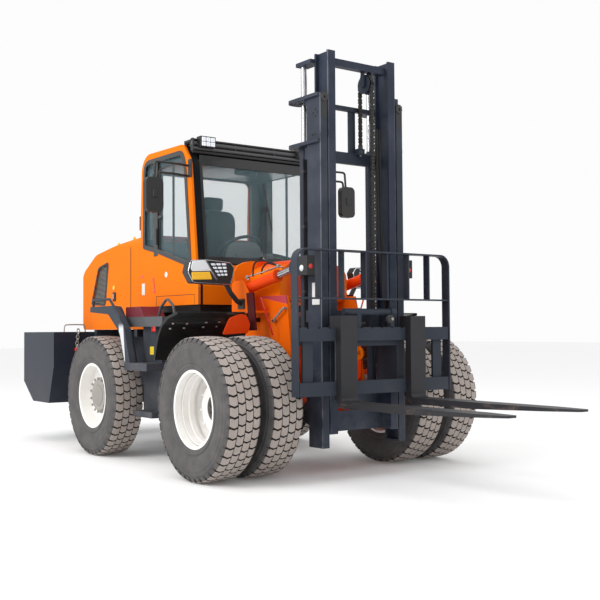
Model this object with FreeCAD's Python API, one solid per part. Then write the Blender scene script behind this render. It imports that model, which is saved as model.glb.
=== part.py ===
import FreeCAD, Part
import math
import os

# Rough terrain forklift: an articulated chassis with twin front wheels, a cab on the
# rear frame and a two-stage mast on the front frame.
# X runs forward from the front axle, Y to the left, Z up from the ground. Millimetres.
# Offsets written beside a named datum are distances from that datum.

# ---- driving dimensions ----
wheelbase = 2000
tyre_radius = 540
tyre_width = 294
tread_width = 244
bead_radius = 286
rim_width = 236
rim_flange_radius = 298
twin_centre_y = 903
twin_spacing = 374
rear_wheel_y = 996

running_gap = 0.05
seat_gap = 0.3
moving_gap = 6

rear_axle_x = -wheelbase
pivot_x = -wheelbase / 2
hub_z = tyre_radius
fork_tip_x = 2300
tail_x = rear_axle_x - 1900
origin_x = (fork_tip_x + tail_x) / 2

# ---- wheels and axles ----
rim_wall = 12
rim_lip = 12
disc_thickness = 16
spindle_radius = 60
spindle_length = 190
front_hub_radius = 211
front_hub_face_y = 1023
front_hub_recess = 33
front_hub_recess_radius = 105
rear_hub_radius = 165
rear_disc_depth = 150
axle_tube_radius = 85
axle_end_radius = 120
axle_box_radius = 190
axle_pad_y = 335
axle_seat_z = hub_z + 110
front_axle_end_y = 770
rear_axle_end_y = 800

# ---- articulation ----
pivot_pin_radius = 35
pivot_lug_radius = 95
pivot_lug_thickness = 40
pivot_ear_thickness = 30
upper_lug_z = hub_z + 360
lower_lug_z = hub_z - 90

# ---- rear chassis ----
chassis_half_width = 360
chassis_plate = 30
chassis_top_z = hub_z + 580
chassis_bottom_z = hub_z - 120
chassis_tail_bottom_z = hub_z + 100
chassis_front_x = pivot_x - 330
chassis_tail_x = rear_axle_x - 1050
hood_half_width = 620
hood_front_x = rear_axle_x + 50
hood_tail_x = rear_axle_x - 1440
hood_bottom_z = chassis_top_z + 20
hood_top_z = hood_bottom_z + 890
hood_wall = 14
hood_tail_radius = 130
engine_bottom_z = hub_z + 320
engine_height = 600
engine_half_width = 230
weight_front_x = chassis_tail_x - 20
weight_half_width = 1050
weight_top_z = chassis_top_z
weight_bottom_z = hub_z - 140
weight_wall = 50

# ---- tow pin: its middle runs bare across the weight's pocket ----
tow_pin_radius = 20
tow_pin_step = 2
tow_pin_x = tail_x + 90
tow_pocket_depth = 180
tow_pocket_half_width = 90
tow_pocket_bottom_z = hub_z + 20
tow_pocket_top_z = hub_z + 180

# ---- steps, tanks and rear fenders ----
tank_rear_x = pivot_x - 471
tank_front_x = pivot_x - 130
tank_inner_y = 400
tank_outer_y = 865
tank_bottom_z = hub_z - 155
deck_outer_y = 930
deck_front_x = pivot_x
deck_rear_x = rear_axle_x + 300
deck_bottom_z = chassis_top_z + 40
deck_top_z = chassis_top_z + 125
step_front_x = tank_front_x + 80
step_outer_y = 1050
step_thickness = 65
upper_step_z = hub_z + 310
grab_y = 800
grab_radius = 12
sheet = 8

# ---- cab ----
cab_half_width = 660
cab_wall = 45
cab_floor_z = chassis_top_z + 170
cab_side_bottom_z = cab_floor_z + 55
cab_floor_top_z = cab_side_bottom_z + 15
cab_rear_x = pivot_x - 930
cab_rear_bend_z = cab_side_bottom_z + 905
cab_nose_x = pivot_x + 140
cab_nose_z = cab_side_bottom_z + 155
cab_sill_x = pivot_x + 105
cab_sill_z = cab_side_bottom_z + 355
cab_brow_x = pivot_x + 10
cab_brow_z = cab_side_bottom_z + 1245
cab_roof_x = pivot_x - 110
cab_roof_z = cab_side_bottom_z + 1410
cab_rear_top_z = cab_roof_z - 100
screen_top_z = cab_roof_z - 100
glass = 6
glass_depth = 20
cab_foot_radius = 40
door_gap = 6
door_rear_x = cab_rear_x + 140
door_bottom_z = cab_side_bottom_z + 85
door_hinge_radius = 10
door_pin_radius = 5
knuckle_length = 60

# ---- front frame ----
tower_half_width = 360
tower_plate = 30
tower_rear_x = pivot_x + 533
tower_top_z = hub_z + 860
mast_pin_x = 270
mast_pin_z = hub_z - 60
mast_pin_radius = 30
bracket_inner_y = 503
bracket_plate = 15
bracket_floor_z = tower_top_z - 138
cover_half_width = 345
cover_arch_half_width = 498
cover_sheet = 14
fender_inner_y = 620
fender_front_x = -200
fender_outer_y = 1230
fender_top_z = hub_z + 728
fender_lip = 22
lamp_x = -365
lamp_depth = 75
lamp_inner_y = 612
lamp_outer_y = 1050
lamp_bottom_z = tower_top_z + 85
lamp_height = 200

# ---- mast ----
mast_front_x = 530
rail_depth = 170
flange = 18
web = 16
inner_rail_in_y = 265
inner_rail_out_y = 335
outer_rail_in_y = 347
outer_rail_out_y = 410
outer_bottom_z = 240
outer_top_z = 2900
inner_bottom_z = 340
inner_top_z = outer_top_z + 340
roller_stub_radius = 20
lift_x = 220
lift_y = 332
lift_barrel_radius = 38
lift_rod_radius = 24
lift_barrel_top_z = outer_top_z - 370
lift_foot_z = 640
lift_head_z = inner_top_z - 70
chain_y = 102
chain_width = 34
chain_thickness = 24
chain_anchor_z = lift_barrel_top_z + 20
chain_post_z = 1250
sheave_radius = 72
sheave_x = mast_front_x - 78
sheave_z = inner_top_z - 195
rail_back_x = mast_front_x - rail_depth
roller_radius = rail_depth / 2 - flange - 0.5

# ---- tilt cylinders ----
tilt_y = 443
tilt_base_x = -500
tilt_base_z = 1450
tilt_eye_x = 262
tilt_eye_z = 1600
tilt_barrel_radius = 44
tilt_barrel_length = 520
tilt_rod_radius = 28
tilt_rod_start = 312
tilt_pin_radius = 22
tilt_eye_radius = 45

# ---- steering cylinders ----
steer_y = 250
steer_z = hub_z + 160
steer_base_x = pivot_x - 700
steer_barrel_radius = 38
steer_barrel_length = 440
steer_rod_radius = 20
steer_pin_radius = 16
steer_eye_radius = 34
steer_eye_height = 60

# ---- carriage and forks ----
carriage_back_x = 640
carriage_front_x = 690
carriage_half_width = 735
bar_height = 100
upper_bar_top_z = 1139
lower_bar_top_z = 742
guard_back_x = carriage_back_x - 23
guard_depth = 78
guard_slat_depth = 60
guard_top_z = 1712
guard_mid_z = 1351
guard_bar = 12
guard_corner_radius = 95
guard_bays = 7
fork_left_y = 355
fork_right_y = 330
fork_width = 154
fork_thickness = 48
fork_top_z = 1224
shift_radius = 25
blade_top_z = 598
fork_tip_thickness = 14
fork_taper_length = 900
fork_front_x = carriage_front_x + 12 + fork_thickness

nodes = {}


def V(x, y, z):
    return FreeCAD.Vector(x, y, z)


def box(x0, x1, y0, y1, z0, z1):
    """Box between two pairs of limits on each axis; the Y pair may come in either order."""
    low, high = sorted((y0, y1))
    return Part.makeBox(x1 - x0, high - low, z1 - z0, V(x0, low, z0))


def cylinder(radius, start, end):
    line = V(*end) - V(*start)
    return Part.makeCylinder(radius, line.Length, V(*start), line)


def corner(before, here, after, radius):
    """Start, middle and end of the arc that rounds the corner at here."""
    to_before = (before - here).normalize()
    to_after = (after - here).normalize()
    half = to_before.getAngle(to_after) / 2
    reach = radius / math.tan(half)
    middle = here + (to_before + to_after).normalize() * (radius / math.sin(half) - radius)
    return here + to_before * reach, middle, here + to_after * reach


def wire(points, place, radius=0):
    """Closed outline of (u, v[, own radius]) corners; place turns (u, v) into a 3-D point."""
    flat = [V(p[0], p[1], 0) for p in points]
    runs = []
    for i, point in enumerate(points):
        r = point[2] if len(point) > 2 else radius
        if r > 0:
            runs.append(corner(flat[i - 1], flat[i], flat[(i + 1) % len(flat)], r))
        else:
            runs.append((flat[i], None, flat[i]))
    edges = []
    for (start, middle, end), following in zip(runs, runs[1:] + runs[:1]):
        if middle is not None:
            edges.append(Part.Arc(place(start), place(middle), place(end)).toShape())
        if (following[0] - end).Length > 1e-6:
            edges.append(Part.LineSegment(place(end), place(following[0])).toShape())
    return Part.Wire(edges)


def side_prism(points, y0, y1, radius=0):
    """Outline in X and Z, carried from y0 to y1."""
    outline = wire(points, lambda p: V(p.x, y0, p.y), radius)
    return Part.Face(outline).extrude(V(0, y1 - y0, 0))


def plan_prism(points, z0, z1, radius=0):
    """Outline in X and Y, carried from z0 to z1."""
    outline = wire(points, lambda p: V(p.x, p.y, z0), radius)
    return Part.Face(outline).extrude(V(0, 0, z1 - z0))


def cross_prism(points, x0, x1, radius=0):
    """Outline in Y and Z, carried from x0 to x1."""
    outline = wire(points, lambda p: V(x0, p.x, p.y), radius)
    return Part.Face(outline).extrude(V(x1 - x0, 0, 0))


def even(points):
    """One side's (y, z[, radius]) corners and their mirror image, as one outline."""
    return points + [(-p[0], *p[1:]) for p in reversed(points)]


def turned(profile, x, y, z):
    """Profile of (radius, y) corners turned about the line through (x, z) along Y."""
    outline = wire(profile, lambda p: V(x, y + p.y, z + p.x))
    return Part.Face(outline).revolve(V(x, y, z), V(0, 1, 0), 360)


def pipe(points, radius, bend):
    """Round bar along runs joined by tangent arcs."""
    path = [V(*p) for p in points]
    edges = []
    last = path[0]
    for before, here, after in zip(path, path[1:], path[2:]):
        start, middle, end = corner(before, here, after, bend)
        edges.append(Part.LineSegment(last, start).toShape())
        edges.append(Part.Arc(start, middle, end).toShape())
        last = end
    edges.append(Part.LineSegment(last, path[-1]).toShape())
    ring = Part.Wire(Part.makeCircle(radius, path[0], path[1] - path[0]))
    return Part.Wire(edges).makePipeShell([ring], True, False)


def mirrored(shape):
    return shape.mirror(V(0, 0, 0), V(0, 1, 0))


def both(shape):
    return [shape, mirrored(shape)]


def joined(first, *others):
    shape = first
    for other in others:
        shape = shape.fuse(other)
    return shape.removeSplitter()


def cut(shape, *tools):
    for tool in tools:
        shape = shape.cut(tool)
    return shape


def keep(name, *shapes):
    solids = [solid for shape in shapes for solid in shape.Solids]
    nodes[name] = solids[0] if len(solids) == 1 else Part.makeCompound(solids)


# ---- wheels ----

def tyre(x, y):
    bead_y = rim_width / 2 - 13
    tread_y = tread_width / 2
    shoulder_y = tread_y + 8
    wall_foot = bead_radius + 16
    shoulder_radius = tyre_radius - 26
    crown_edge = tyre_radius - 6

    def at(radius, across):
        return V(x, y + across, hub_z + radius)

    def line(a, b):
        return Part.LineSegment(at(*a), at(*b)).toShape()

    def wall(side):
        return Part.Arc(at(wall_foot, side * bead_y),
                        at((wall_foot + shoulder_radius) / 2, side * tyre_width / 2),
                        at(shoulder_radius, side * shoulder_y)).toShape()

    crown = Part.Arc(at(crown_edge, tread_y), at(tyre_radius, 0), at(crown_edge, -tread_y)).toShape()
    edges = [line((bead_radius, -bead_y), (bead_radius, bead_y)),
             line((bead_radius, bead_y), (wall_foot, bead_y)), wall(1),
             line((shoulder_radius, shoulder_y), (crown_edge, tread_y)), crown,
             line((crown_edge, -tread_y), (shoulder_radius, -shoulder_y)), wall(-1),
             line((wall_foot, -bead_y), (bead_radius, -bead_y))]
    return Part.Face(Part.Wire(edges)).revolve(V(x, y, hub_z), V(0, 1, 0), 360)


def rim(x, y, face_y, way, shelf):
    """Rim barrel about y; its dished disc runs from the barrel to a flat face at face_y.

    way is +1 where the barrel lies outboard of the face; shelf is how far from y the dish starts.
    """
    half = rim_width / 2
    outer = bead_radius - seat_gap
    inner = outer - rim_wall
    barrel = turned([(inner, -half), (rim_flange_radius, -half), (rim_flange_radius, -half + rim_lip),
                     (outer, -half + rim_lip), (outer, half - rim_lip),
                     (rim_flange_radius, half - rim_lip), (rim_flange_radius, half), (inner, half)],
                    x, y, hub_z)
    root = y - way * shelf
    thick = disc_thickness * way
    disc = turned([(inner + 2, root - thick), (inner + 2, root), (inner - 42, face_y + 1.9 * thick),
                   (inner - 62, face_y + thick), (0, face_y + thick), (0, face_y),
                   (inner - 52, face_y), (inner - 28, face_y + 1.2 * thick)], x, 0, hub_z)
    return barrel.fuse(disc)


def hub(x, inner_y, disc_y, outer_y, radius):
    drum_radius = axle_end_radius + 65
    bevel = 25
    return turned([(0, inner_y), (drum_radius, inner_y), (drum_radius, disc_y), (radius, disc_y),
                   (radius, outer_y - bevel), (radius - bevel, outer_y), (0, outer_y)], x, 0, hub_z)


def spindle_bore(x, end_y):
    return cylinder(spindle_radius + running_gap, (x, end_y, hub_z),
                    (x, end_y + spindle_length + moving_gap, hub_z))


def wheels():
    outer_y = twin_centre_y + twin_spacing / 2
    inner_y = twin_centre_y - twin_spacing / 2
    twin_shelf = 75
    twin_tyres = joined_apart(tyre(0, outer_y), tyre(0, inner_y))
    twin_hub = hub(0, front_axle_end_y + moving_gap, twin_centre_y + disc_thickness, front_hub_face_y,
                   front_hub_radius)
    twin_hub = twin_hub.cut(cylinder(front_hub_recess_radius,
                                     (0, front_hub_face_y - front_hub_recess, hub_z),
                                     (0, front_hub_face_y + 1, hub_z)))
    twin_rims = joined(rim(0, outer_y, twin_centre_y, 1, twin_shelf),
                       rim(0, inner_y, twin_centre_y, -1, twin_shelf), twin_hub)
    twin_rims = twin_rims.cut(spindle_bore(0, front_axle_end_y))
    rear_face_y = rear_wheel_y + rim_width / 2
    disc_y = rear_face_y - rear_disc_depth
    rear_hub = hub(rear_axle_x, rear_axle_end_y + moving_gap, disc_y, rear_face_y - 60, rear_hub_radius)
    rear_rim = joined(rim(rear_axle_x, rear_wheel_y, disc_y, 1, 0), rear_hub)
    rear_rim = rear_rim.cut(spindle_bore(rear_axle_x, rear_axle_end_y))
    rear_tyre = tyre(rear_axle_x, rear_wheel_y)
    for name, shape in (("front_tyres", twin_tyres), ("front_wheels", twin_rims),
                        ("rear_tyre", rear_tyre), ("rear_wheel", rear_rim)):
        keep(name + "_left", shape)
        keep(name + "_right", mirrored(shape))


def joined_apart(*solids):
    """Like pieces of one node that don't touch."""
    return Part.makeCompound(list(solids))


def axle(x, end_y):
    """Axle housing with its drive box, tapered arms, frame pads and wheel spindles."""
    box_half = 150
    box_end_radius = 140
    arm_y = 420
    pad_half = 65
    pad_half_length = 90
    drive = Part.makeSphere(axle_box_radius, V(x, 0, hub_z))
    arm = [(0, end_y), (axle_end_radius, end_y), (axle_end_radius, end_y - 60),
           (axle_tube_radius, end_y - 90), (axle_tube_radius, arm_y), (box_end_radius, box_half)]
    arms = turned(arm + [(r, -y) for r, y in reversed(arm)], x, 0, hub_z)
    tip_y = end_y + spindle_length
    spindle = cylinder(spindle_radius, (x, -tip_y, hub_z), (x, tip_y, hub_z))
    pad = box(x - pad_half_length, x + pad_half_length, axle_pad_y - pad_half, axle_pad_y + pad_half,
              hub_z + 40, axle_seat_z - seat_gap)
    return joined(drive, arms, spindle, *both(pad))


def axles():
    keep("front_axle", axle(0, front_axle_end_y))
    keep("rear_axle", axle(rear_axle_x, rear_axle_end_y))


# ---- rear chassis ----

def rear_frame():
    inner = chassis_half_width - chassis_plate
    rail_end_z = chassis_top_z - 60
    side = side_prism([(chassis_tail_x, rail_end_z), (chassis_tail_x, chassis_tail_bottom_z),
                       (rear_axle_x - 500, hub_z + 20), (rear_axle_x - 200, axle_seat_z),
                       (rear_axle_x + 200, axle_seat_z), (rear_axle_x + 350, chassis_bottom_z),
                       (chassis_front_x, chassis_bottom_z), (chassis_front_x, chassis_top_z),
                       (chassis_tail_x + 150, chassis_top_z)], inner, chassis_half_width)
    floor = box(rear_axle_x + 350, chassis_front_x, -inner, inner, chassis_bottom_z, chassis_bottom_z + 20)
    bulkhead = box(chassis_front_x - 40, chassis_front_x, -inner, inner, chassis_bottom_z, chassis_top_z)
    rod_slot = box(chassis_front_x - 41, chassis_front_x + 1, -inner + 2, inner - 2,
                   steer_z - 75, steer_z + 75)
    tail = box(chassis_tail_x, chassis_tail_x + 40, -inner, inner, chassis_tail_bottom_z, rail_end_z)
    deck = box(rear_axle_x + 100, chassis_front_x, -inner, inner, chassis_top_z - 20, chassis_top_z)

    def beam(x, half_width, bottom_z, top_z):
        return box(x - 30, x + 30, -half_width, half_width, bottom_z, top_z - seat_gap)

    beams = [beam(rear_axle_x + dx, inner, engine_bottom_z - 60, engine_bottom_z) for dx in (-860, -340)]
    beams += [beam(rear_axle_x + dx, hood_half_width - 4, chassis_top_z - 50, hood_bottom_z)
              for dx in (-1035, -120)]
    lugs = []
    ear_radius = pivot_lug_radius - 5
    for z in (upper_lug_z, lower_lug_z):
        above = z + moving_gap + pivot_lug_thickness
        below = z - moving_gap - pivot_ear_thickness
        for level in (above, below):
            top = level + pivot_ear_thickness
            lugs.append(plan_prism([(chassis_front_x - 10, -230), (chassis_front_x - 10, 230),
                                    (pivot_x, ear_radius), (pivot_x, -ear_radius)], level, top))
            lugs.append(cylinder(ear_radius, (pivot_x, 0, level), (pivot_x, 0, top)))
        lugs.append(cylinder(pivot_pin_radius, (pivot_x, 0, below), (pivot_x, 0, above + 50)))
    ear_gap = 46
    ear_plate = 14
    for level in (steer_z - ear_gap - ear_plate, steer_z + ear_gap):
        lugs += both(box(steer_base_x - 50, steer_base_x + 50, steer_y - 50, inner + 5,
                         level, level + ear_plate))
    lugs += both(cylinder(steer_pin_radius, (steer_base_x, steer_y, steer_z - ear_gap - 4),
                          (steer_base_x, steer_y, steer_z + ear_gap + 4)))
    keep("rear_frame", joined(*both(side), floor, bulkhead.cut(rod_slot), tail, deck, *beams, *lugs))


def engine():
    keep("engine_block", box(rear_axle_x - 950, rear_axle_x - 300, -engine_half_width, engine_half_width,
                             engine_bottom_z, engine_bottom_z + engine_height))


def hood():
    def shell(inset):
        half = hood_half_width - inset
        tail = hood_tail_x + inset
        top = hood_top_z - inset
        bottom = hood_bottom_z - 2 * inset
        side = side_prism([(hood_front_x, bottom), (hood_front_x, top), (rear_axle_x - 530, top - 55, 900),
                           (tail + 415, top - 125, 300), (tail + 115, top - 290, 200),
                           (tail, top - 530, 250),
                           (tail, hood_bottom_z + 150, 120), (tail + 125, bottom, 60)], -half, half)
        plan = plan_prism([(hood_front_x + 1, -half), (hood_front_x + 1, half),
                           (tail, half, hood_tail_radius), (tail, -half, hood_tail_radius)],
                          hood_bottom_z - 100, hood_top_z + 50)
        arch = cross_prism(even([(half, hood_bottom_z - 100), (half - 6, top, 90)]),
                           hood_tail_x - 10, hood_front_x + 10)
        return side.common(plan).common(arch)

    outer = shell(0)
    vent = side_prism([(hood_tail_x + 729, hood_top_z - 210), (hood_tail_x + 657, hood_top_z - 651),
                       (hood_tail_x + 317, hood_top_z - 632), (hood_tail_x + 491, hood_top_z - 257)],
                      hood_half_width - 60, hood_half_width + 20, 40)
    keep("hood", cut(outer, shell(hood_wall), *both(vent)))
    return outer


def counterweight():
    def body(inset):
        return side_prism([(tail_x + inset, weight_top_z - inset), (tail_x + inset, hub_z + 60),
                           (tail_x + 270 + inset / 2, weight_bottom_z + inset),
                           (weight_front_x - 130 - inset / 2, weight_bottom_z + inset),
                           (weight_front_x - inset, hub_z + 235),
                           (weight_front_x - inset, weight_top_z - inset)],
                          -weight_half_width + inset, weight_half_width - inset)

    boss = box(tail_x, tail_x + tow_pocket_depth + weight_wall, -tow_pocket_half_width - weight_wall,
               tow_pocket_half_width + weight_wall, weight_bottom_z, weight_top_z)
    neck = box(weight_front_x, chassis_tail_x, -300, 300, chassis_tail_bottom_z + 20, chassis_top_z - 80)
    pocket = box(tail_x - 1, tail_x + tow_pocket_depth, -tow_pocket_half_width, tow_pocket_half_width,
                 tow_pocket_bottom_z, tow_pocket_top_z)
    foot_z = tow_pocket_bottom_z - 60
    head_z = weight_top_z + seat_gap
    levels = ((foot_z, tow_pocket_bottom_z, tow_pin_radius - tow_pin_step),
              (tow_pocket_bottom_z, tow_pocket_top_z, tow_pin_radius),
              (tow_pocket_top_z, head_z, tow_pin_radius + tow_pin_step))
    bores = [cylinder(r + running_gap, (tow_pin_x, 0, z0), (tow_pin_x, 0, z1)) for z0, z1, r in levels]
    keep("counterweight", cut(joined(body(0).cut(body(weight_wall).cut(boss)), neck), pocket, *bores))
    bail_y = 34
    rods = [cylinder(r, (tow_pin_x, 0, z0), (tow_pin_x, 0, z1)) for z0, z1, r in levels]
    head = cylinder(34, (tow_pin_x, 0, head_z), (tow_pin_x, 0, head_z + 40))
    bar = box(tow_pin_x - 10, tow_pin_x + 10, -bail_y - 8, bail_y + 8, head_z + 22, head_z + 38)
    bail = pipe([(tow_pin_x, -bail_y, head_z + 30), (tow_pin_x, -bail_y, head_z + 95),
                 (tow_pin_x, bail_y, head_z + 95), (tow_pin_x, bail_y, head_z + 30)], 8, 26)
    keep("tow_pin", joined(*rods, head, bar, bail))


def tanks_and_steps():
    tank = box(tank_rear_x, tank_front_x, tank_inner_y, tank_outer_y, tank_bottom_z,
               deck_bottom_z - seat_gap)
    steps = [box(tank_rear_x, step_front_x, tank_outer_y - 40, step_outer_y,
                 upper_step_z - step_thickness, upper_step_z),
             box(tank_rear_x + 36, step_front_x - 35, tank_outer_y - 40, step_outer_y - 65,
                 tank_bottom_z, tank_bottom_z + step_thickness - 15)]
    arm = box(tank_rear_x + 30, tank_front_x - 30, chassis_half_width + seat_gap, tank_inner_y + 5,
              tank_bottom_z + 180, deck_bottom_z - 160)
    keep("side_tanks", *both(joined(tank, *steps, arm)))
    deck = box(deck_rear_x, deck_front_x, chassis_half_width + 10, deck_outer_y, deck_bottom_z, deck_top_z)
    foot = box(chassis_front_x - 270, chassis_front_x - 70, chassis_half_width - 80,
               chassis_half_width + 30, chassis_top_z + seat_gap, deck_top_z)
    loop = pipe([(deck_front_x + dx, grab_y, deck_top_z + dz)
                 for dx, dz in ((-308, -5), (-270, 80), (-150, 160), (-40, 90), (-12, -5))],
                grab_radius, 62)
    locker = side_prism([(deck_rear_x + 5, deck_top_z - 5), (deck_rear_x + 5, deck_top_z + 92),
                         (deck_front_x - 420, deck_top_z + 92), (deck_front_x - 330, deck_top_z - 5)],
                        cab_half_width + 60, deck_outer_y - 5, 0)
    keep("side_decks", *both(joined(deck, foot, loop, locker)))


def rear_fenders():
    inner = deck_outer_y + seat_gap
    foot_z = upper_step_z + seat_gap
    foot_x = tank_rear_x + 17
    top_z = deck_top_z + 105
    back_x = rear_axle_x - 186
    bend_x = rear_axle_x + 230
    knee = (foot_x - 96, deck_bottom_z - 60, 80)
    sheet_top = [(back_x, top_z), (bend_x, top_z, 80), knee, (foot_x, foot_z)]
    sheet_under = [(foot_x - sheet, foot_z), (knee[0] - sheet, knee[1] - 4, 80),
                   (bend_x - sheet / 2, top_z - sheet, 80), (back_x, top_z - sheet)]
    wheel_side = side_prism(sheet_top + sheet_under, inner, step_outer_y)
    side = side_prism([(back_x, top_z - 50), (back_x, top_z), (bend_x + 46, top_z, 20),
                       (foot_x - 125, deck_top_z + 6, 60), (foot_x - 16, deck_bottom_z - 12, 60),
                       (foot_x + 87, foot_z), (foot_x, foot_z), knee, (bend_x - 30, top_z - 75, 60)],
                      step_outer_y - 60, step_outer_y)
    rail_y = step_outer_y - 15
    grab = pipe([(back_x + 40, rail_y, top_z - 5), (back_x + 40, rail_y, top_z + 62),
                 (bend_x - 28, rail_y, top_z + 61), (foot_x - 146, rail_y, deck_top_z + 15),
                 (foot_x - 106, rail_y, deck_top_z - 30)], grab_radius, 24)
    keep("rear_fenders", *both(joined(wheel_side, side, grab)))


# ---- cab ----

def cab_outline(inset=0):
    """Side view of the cab from its rear foot round the roof to its nose."""
    rear = cab_rear_x + inset
    top = cab_roof_z - inset
    return [(rear, cab_side_bottom_z + inset), (rear + 10, cab_rear_bend_z, 900),
            (rear + 35, top + 2, 170 - inset),
            (cab_roof_x - inset / 2, top - 8, 80), (cab_brow_x - inset, cab_brow_z, 150),
            (cab_sill_x - inset, cab_sill_z), (cab_nose_x - inset, cab_nose_z),
            (cab_nose_x - inset, cab_side_bottom_z + inset)]


def side_window():
    rear = cab_rear_x + 60
    return [(rear, cab_sill_z + 190, 30), (rear + 15, cab_roof_z - 60, 120),
            (cab_roof_x - 10, cab_roof_z - 62, 90),
            (cab_brow_x - 72, cab_brow_z - 30, 150), (cab_sill_x - 75, cab_sill_z - 38, 60),
            (cab_rear_x + 303, cab_sill_z + 142, 300)]


def door_outline(grow=0):
    rear = door_rear_x - grow
    front = cab_sill_x - 60 + grow
    return [(rear, door_bottom_z - grow, 40 + grow), (rear, cab_roof_z - 50 + grow, 90 + grow),
            (cab_roof_x - 20 + grow, cab_roof_z - 55 + grow, 60),
            (cab_brow_x - 62 + grow, cab_brow_z - 20, 150),
            (front, cab_sill_z + 20, 20), (front, door_bottom_z - grow, 40 + grow)]


def door_window():
    rear = door_rear_x + 60
    return [(rear, cab_sill_z + 160, 40), (rear, cab_roof_z - 110, 70),
            (cab_roof_x - 60, cab_roof_z - 115, 50),
            (cab_brow_x - 127, cab_brow_z - 40, 130), (cab_sill_x - 125, cab_sill_z + 10, 60),
            (cab_rear_x + 330, cab_sill_z + 140, 200)]


def cab():
    half = cab_half_width
    inner = half - cab_wall
    side = side_prism(cab_outline(), inner, half)

    def through(outline):
        return side_prism(outline, inner - 1, half + 1)

    keep("cab_side_right", mirrored(side.cut(through(side_window()))))
    hinge_x = door_rear_x - 20
    hinge_y = half + 14
    knuckles = []
    leaves = []
    for z in (cab_side_bottom_z + 215, cab_side_bottom_z + 855):
        leaf_z = z + knuckle_length + 1
        leaf_top = leaf_z + knuckle_length + 4
        knuckles += [cylinder(door_hinge_radius, (hinge_x, hinge_y, z),
                              (hinge_x, hinge_y, z + knuckle_length)),
                     box(hinge_x - 45, hinge_x, half - 2, half + 8, z, z + knuckle_length),
                     cylinder(door_pin_radius, (hinge_x, hinge_y, z), (hinge_x, hinge_y, leaf_top - 5))]
        leaf = joined(cylinder(door_hinge_radius, (hinge_x, hinge_y, leaf_z), (hinge_x, hinge_y, leaf_top)),
                      box(hinge_x, hinge_x + 60, half + 4, half + 12, leaf_z, leaf_top),
                      box(door_rear_x + 5, hinge_x + 60, half - 2, half + 5, leaf_z, leaf_top))
        leaves.append(leaf.cut(cylinder(door_pin_radius + running_gap, (hinge_x, hinge_y, leaf_z - 1),
                                        (hinge_x, hinge_y, leaf_top - 4))))
    handle_z = cab_sill_z - 20
    grip_x0 = cab_sill_x - 180
    grip_x1 = cab_sill_x - 100
    handle = joined(box(grip_x0 - 10, grip_x1 + 10, half - 2, half + 10, handle_z - 20, handle_z + 20),
                    pipe([(grip_x0, half + 8, handle_z), (grip_x0, half + 34, handle_z),
                          (grip_x1, half + 34, handle_z), (grip_x1, half + 8, handle_z)], 7, 12))
    keep("cab_side_left", joined(side.cut(through(door_outline(door_gap))), *knuckles))
    door = side_prism(door_outline(), inner, half).cut(through(door_window()))
    keep("cab_door", joined(door, *leaves, handle))
    pane_y0 = half - (cab_wall + glass) / 2
    keep("door_glass", side_prism(door_window(), pane_y0, pane_y0 + glass))
    side_pane = mirrored(side_prism(side_window(), pane_y0, pane_y0 + glass))

    # The front, roof and rear are one bent band, split where the real panels meet.
    wide = inner - seat_gap
    band = side_prism(cab_outline(), -wide, wide).cut(side_prism(cab_outline(cab_wall), -wide - 1, wide + 1))
    screen_half = wide - cab_wall
    top = cab_roof_z + 1
    front_part = box(cab_roof_x + seat_gap, cab_nose_x + 1, -wide, wide, cab_side_bottom_z + cab_wall, top)
    foot_part = box(cab_nose_x - cab_wall, cab_nose_x + 1, -wide, wide, cab_side_bottom_z, cab_nose_z)
    screen_hole = box(cab_roof_x, cab_nose_x, -screen_half, screen_half, cab_sill_z, screen_top_z)
    keep("cab_front", joined(band.common(front_part), band.common(foot_part)).cut(screen_hole))
    keep("cab_roof", band.common(box(cab_rear_x, cab_roof_x, -wide, wide, cab_rear_top_z + seat_gap, top)))
    rear_part = box(cab_rear_x - 1, cab_rear_x + 200, -wide, wide, cab_side_bottom_z + cab_wall,
                    cab_rear_top_z)
    rear_foot = box(cab_rear_x, cab_rear_x + cab_wall, -wide, wide, cab_side_bottom_z,
                    cab_side_bottom_z + 2 * cab_wall)
    rear_window = even([(wide - 90, cab_sill_z + 260, 60), (wide - 90, cab_rear_top_z - 60, 60)])
    rear_hole = cross_prism(rear_window, cab_rear_x - 1, cab_rear_x + 200)
    keep("cab_rear", joined(band.common(rear_part), rear_foot).cut(rear_hole))
    floor = box(cab_rear_x + cab_wall + seat_gap, cab_nose_x - cab_wall - seat_gap, -wide, wide,
                cab_floor_z, cab_floor_top_z)
    feet = []
    for x, y, z in ((chassis_front_x - 70, 225, chassis_top_z), (cab_rear_x + 90, 250, chassis_top_z),
                    (pivot_x - 70, 480, deck_top_z)):
        feet += both(cylinder(cab_foot_radius, (x, y, z + seat_gap), (x, y, cab_floor_z + 5)))
    keep("cab_floor", joined(floor, *feet))

    screen = side_prism(cab_outline(glass_depth), -screen_half + seat_gap, screen_half - seat_gap)
    screen = screen.cut(side_prism(cab_outline(glass_depth + glass), -half, half))
    screen = screen.common(box(cab_roof_x, cab_nose_x, -half, half, cab_sill_z + seat_gap,
                               screen_top_z - seat_gap))
    rear_pane = side_prism(cab_outline(glass_depth), -half, half)
    rear_pane = rear_pane.cut(side_prism(cab_outline(glass_depth + glass), -half - 1, half + 1))
    keep("cab_glass", screen, side_pane, rear_pane.common(rear_hole))


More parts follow.
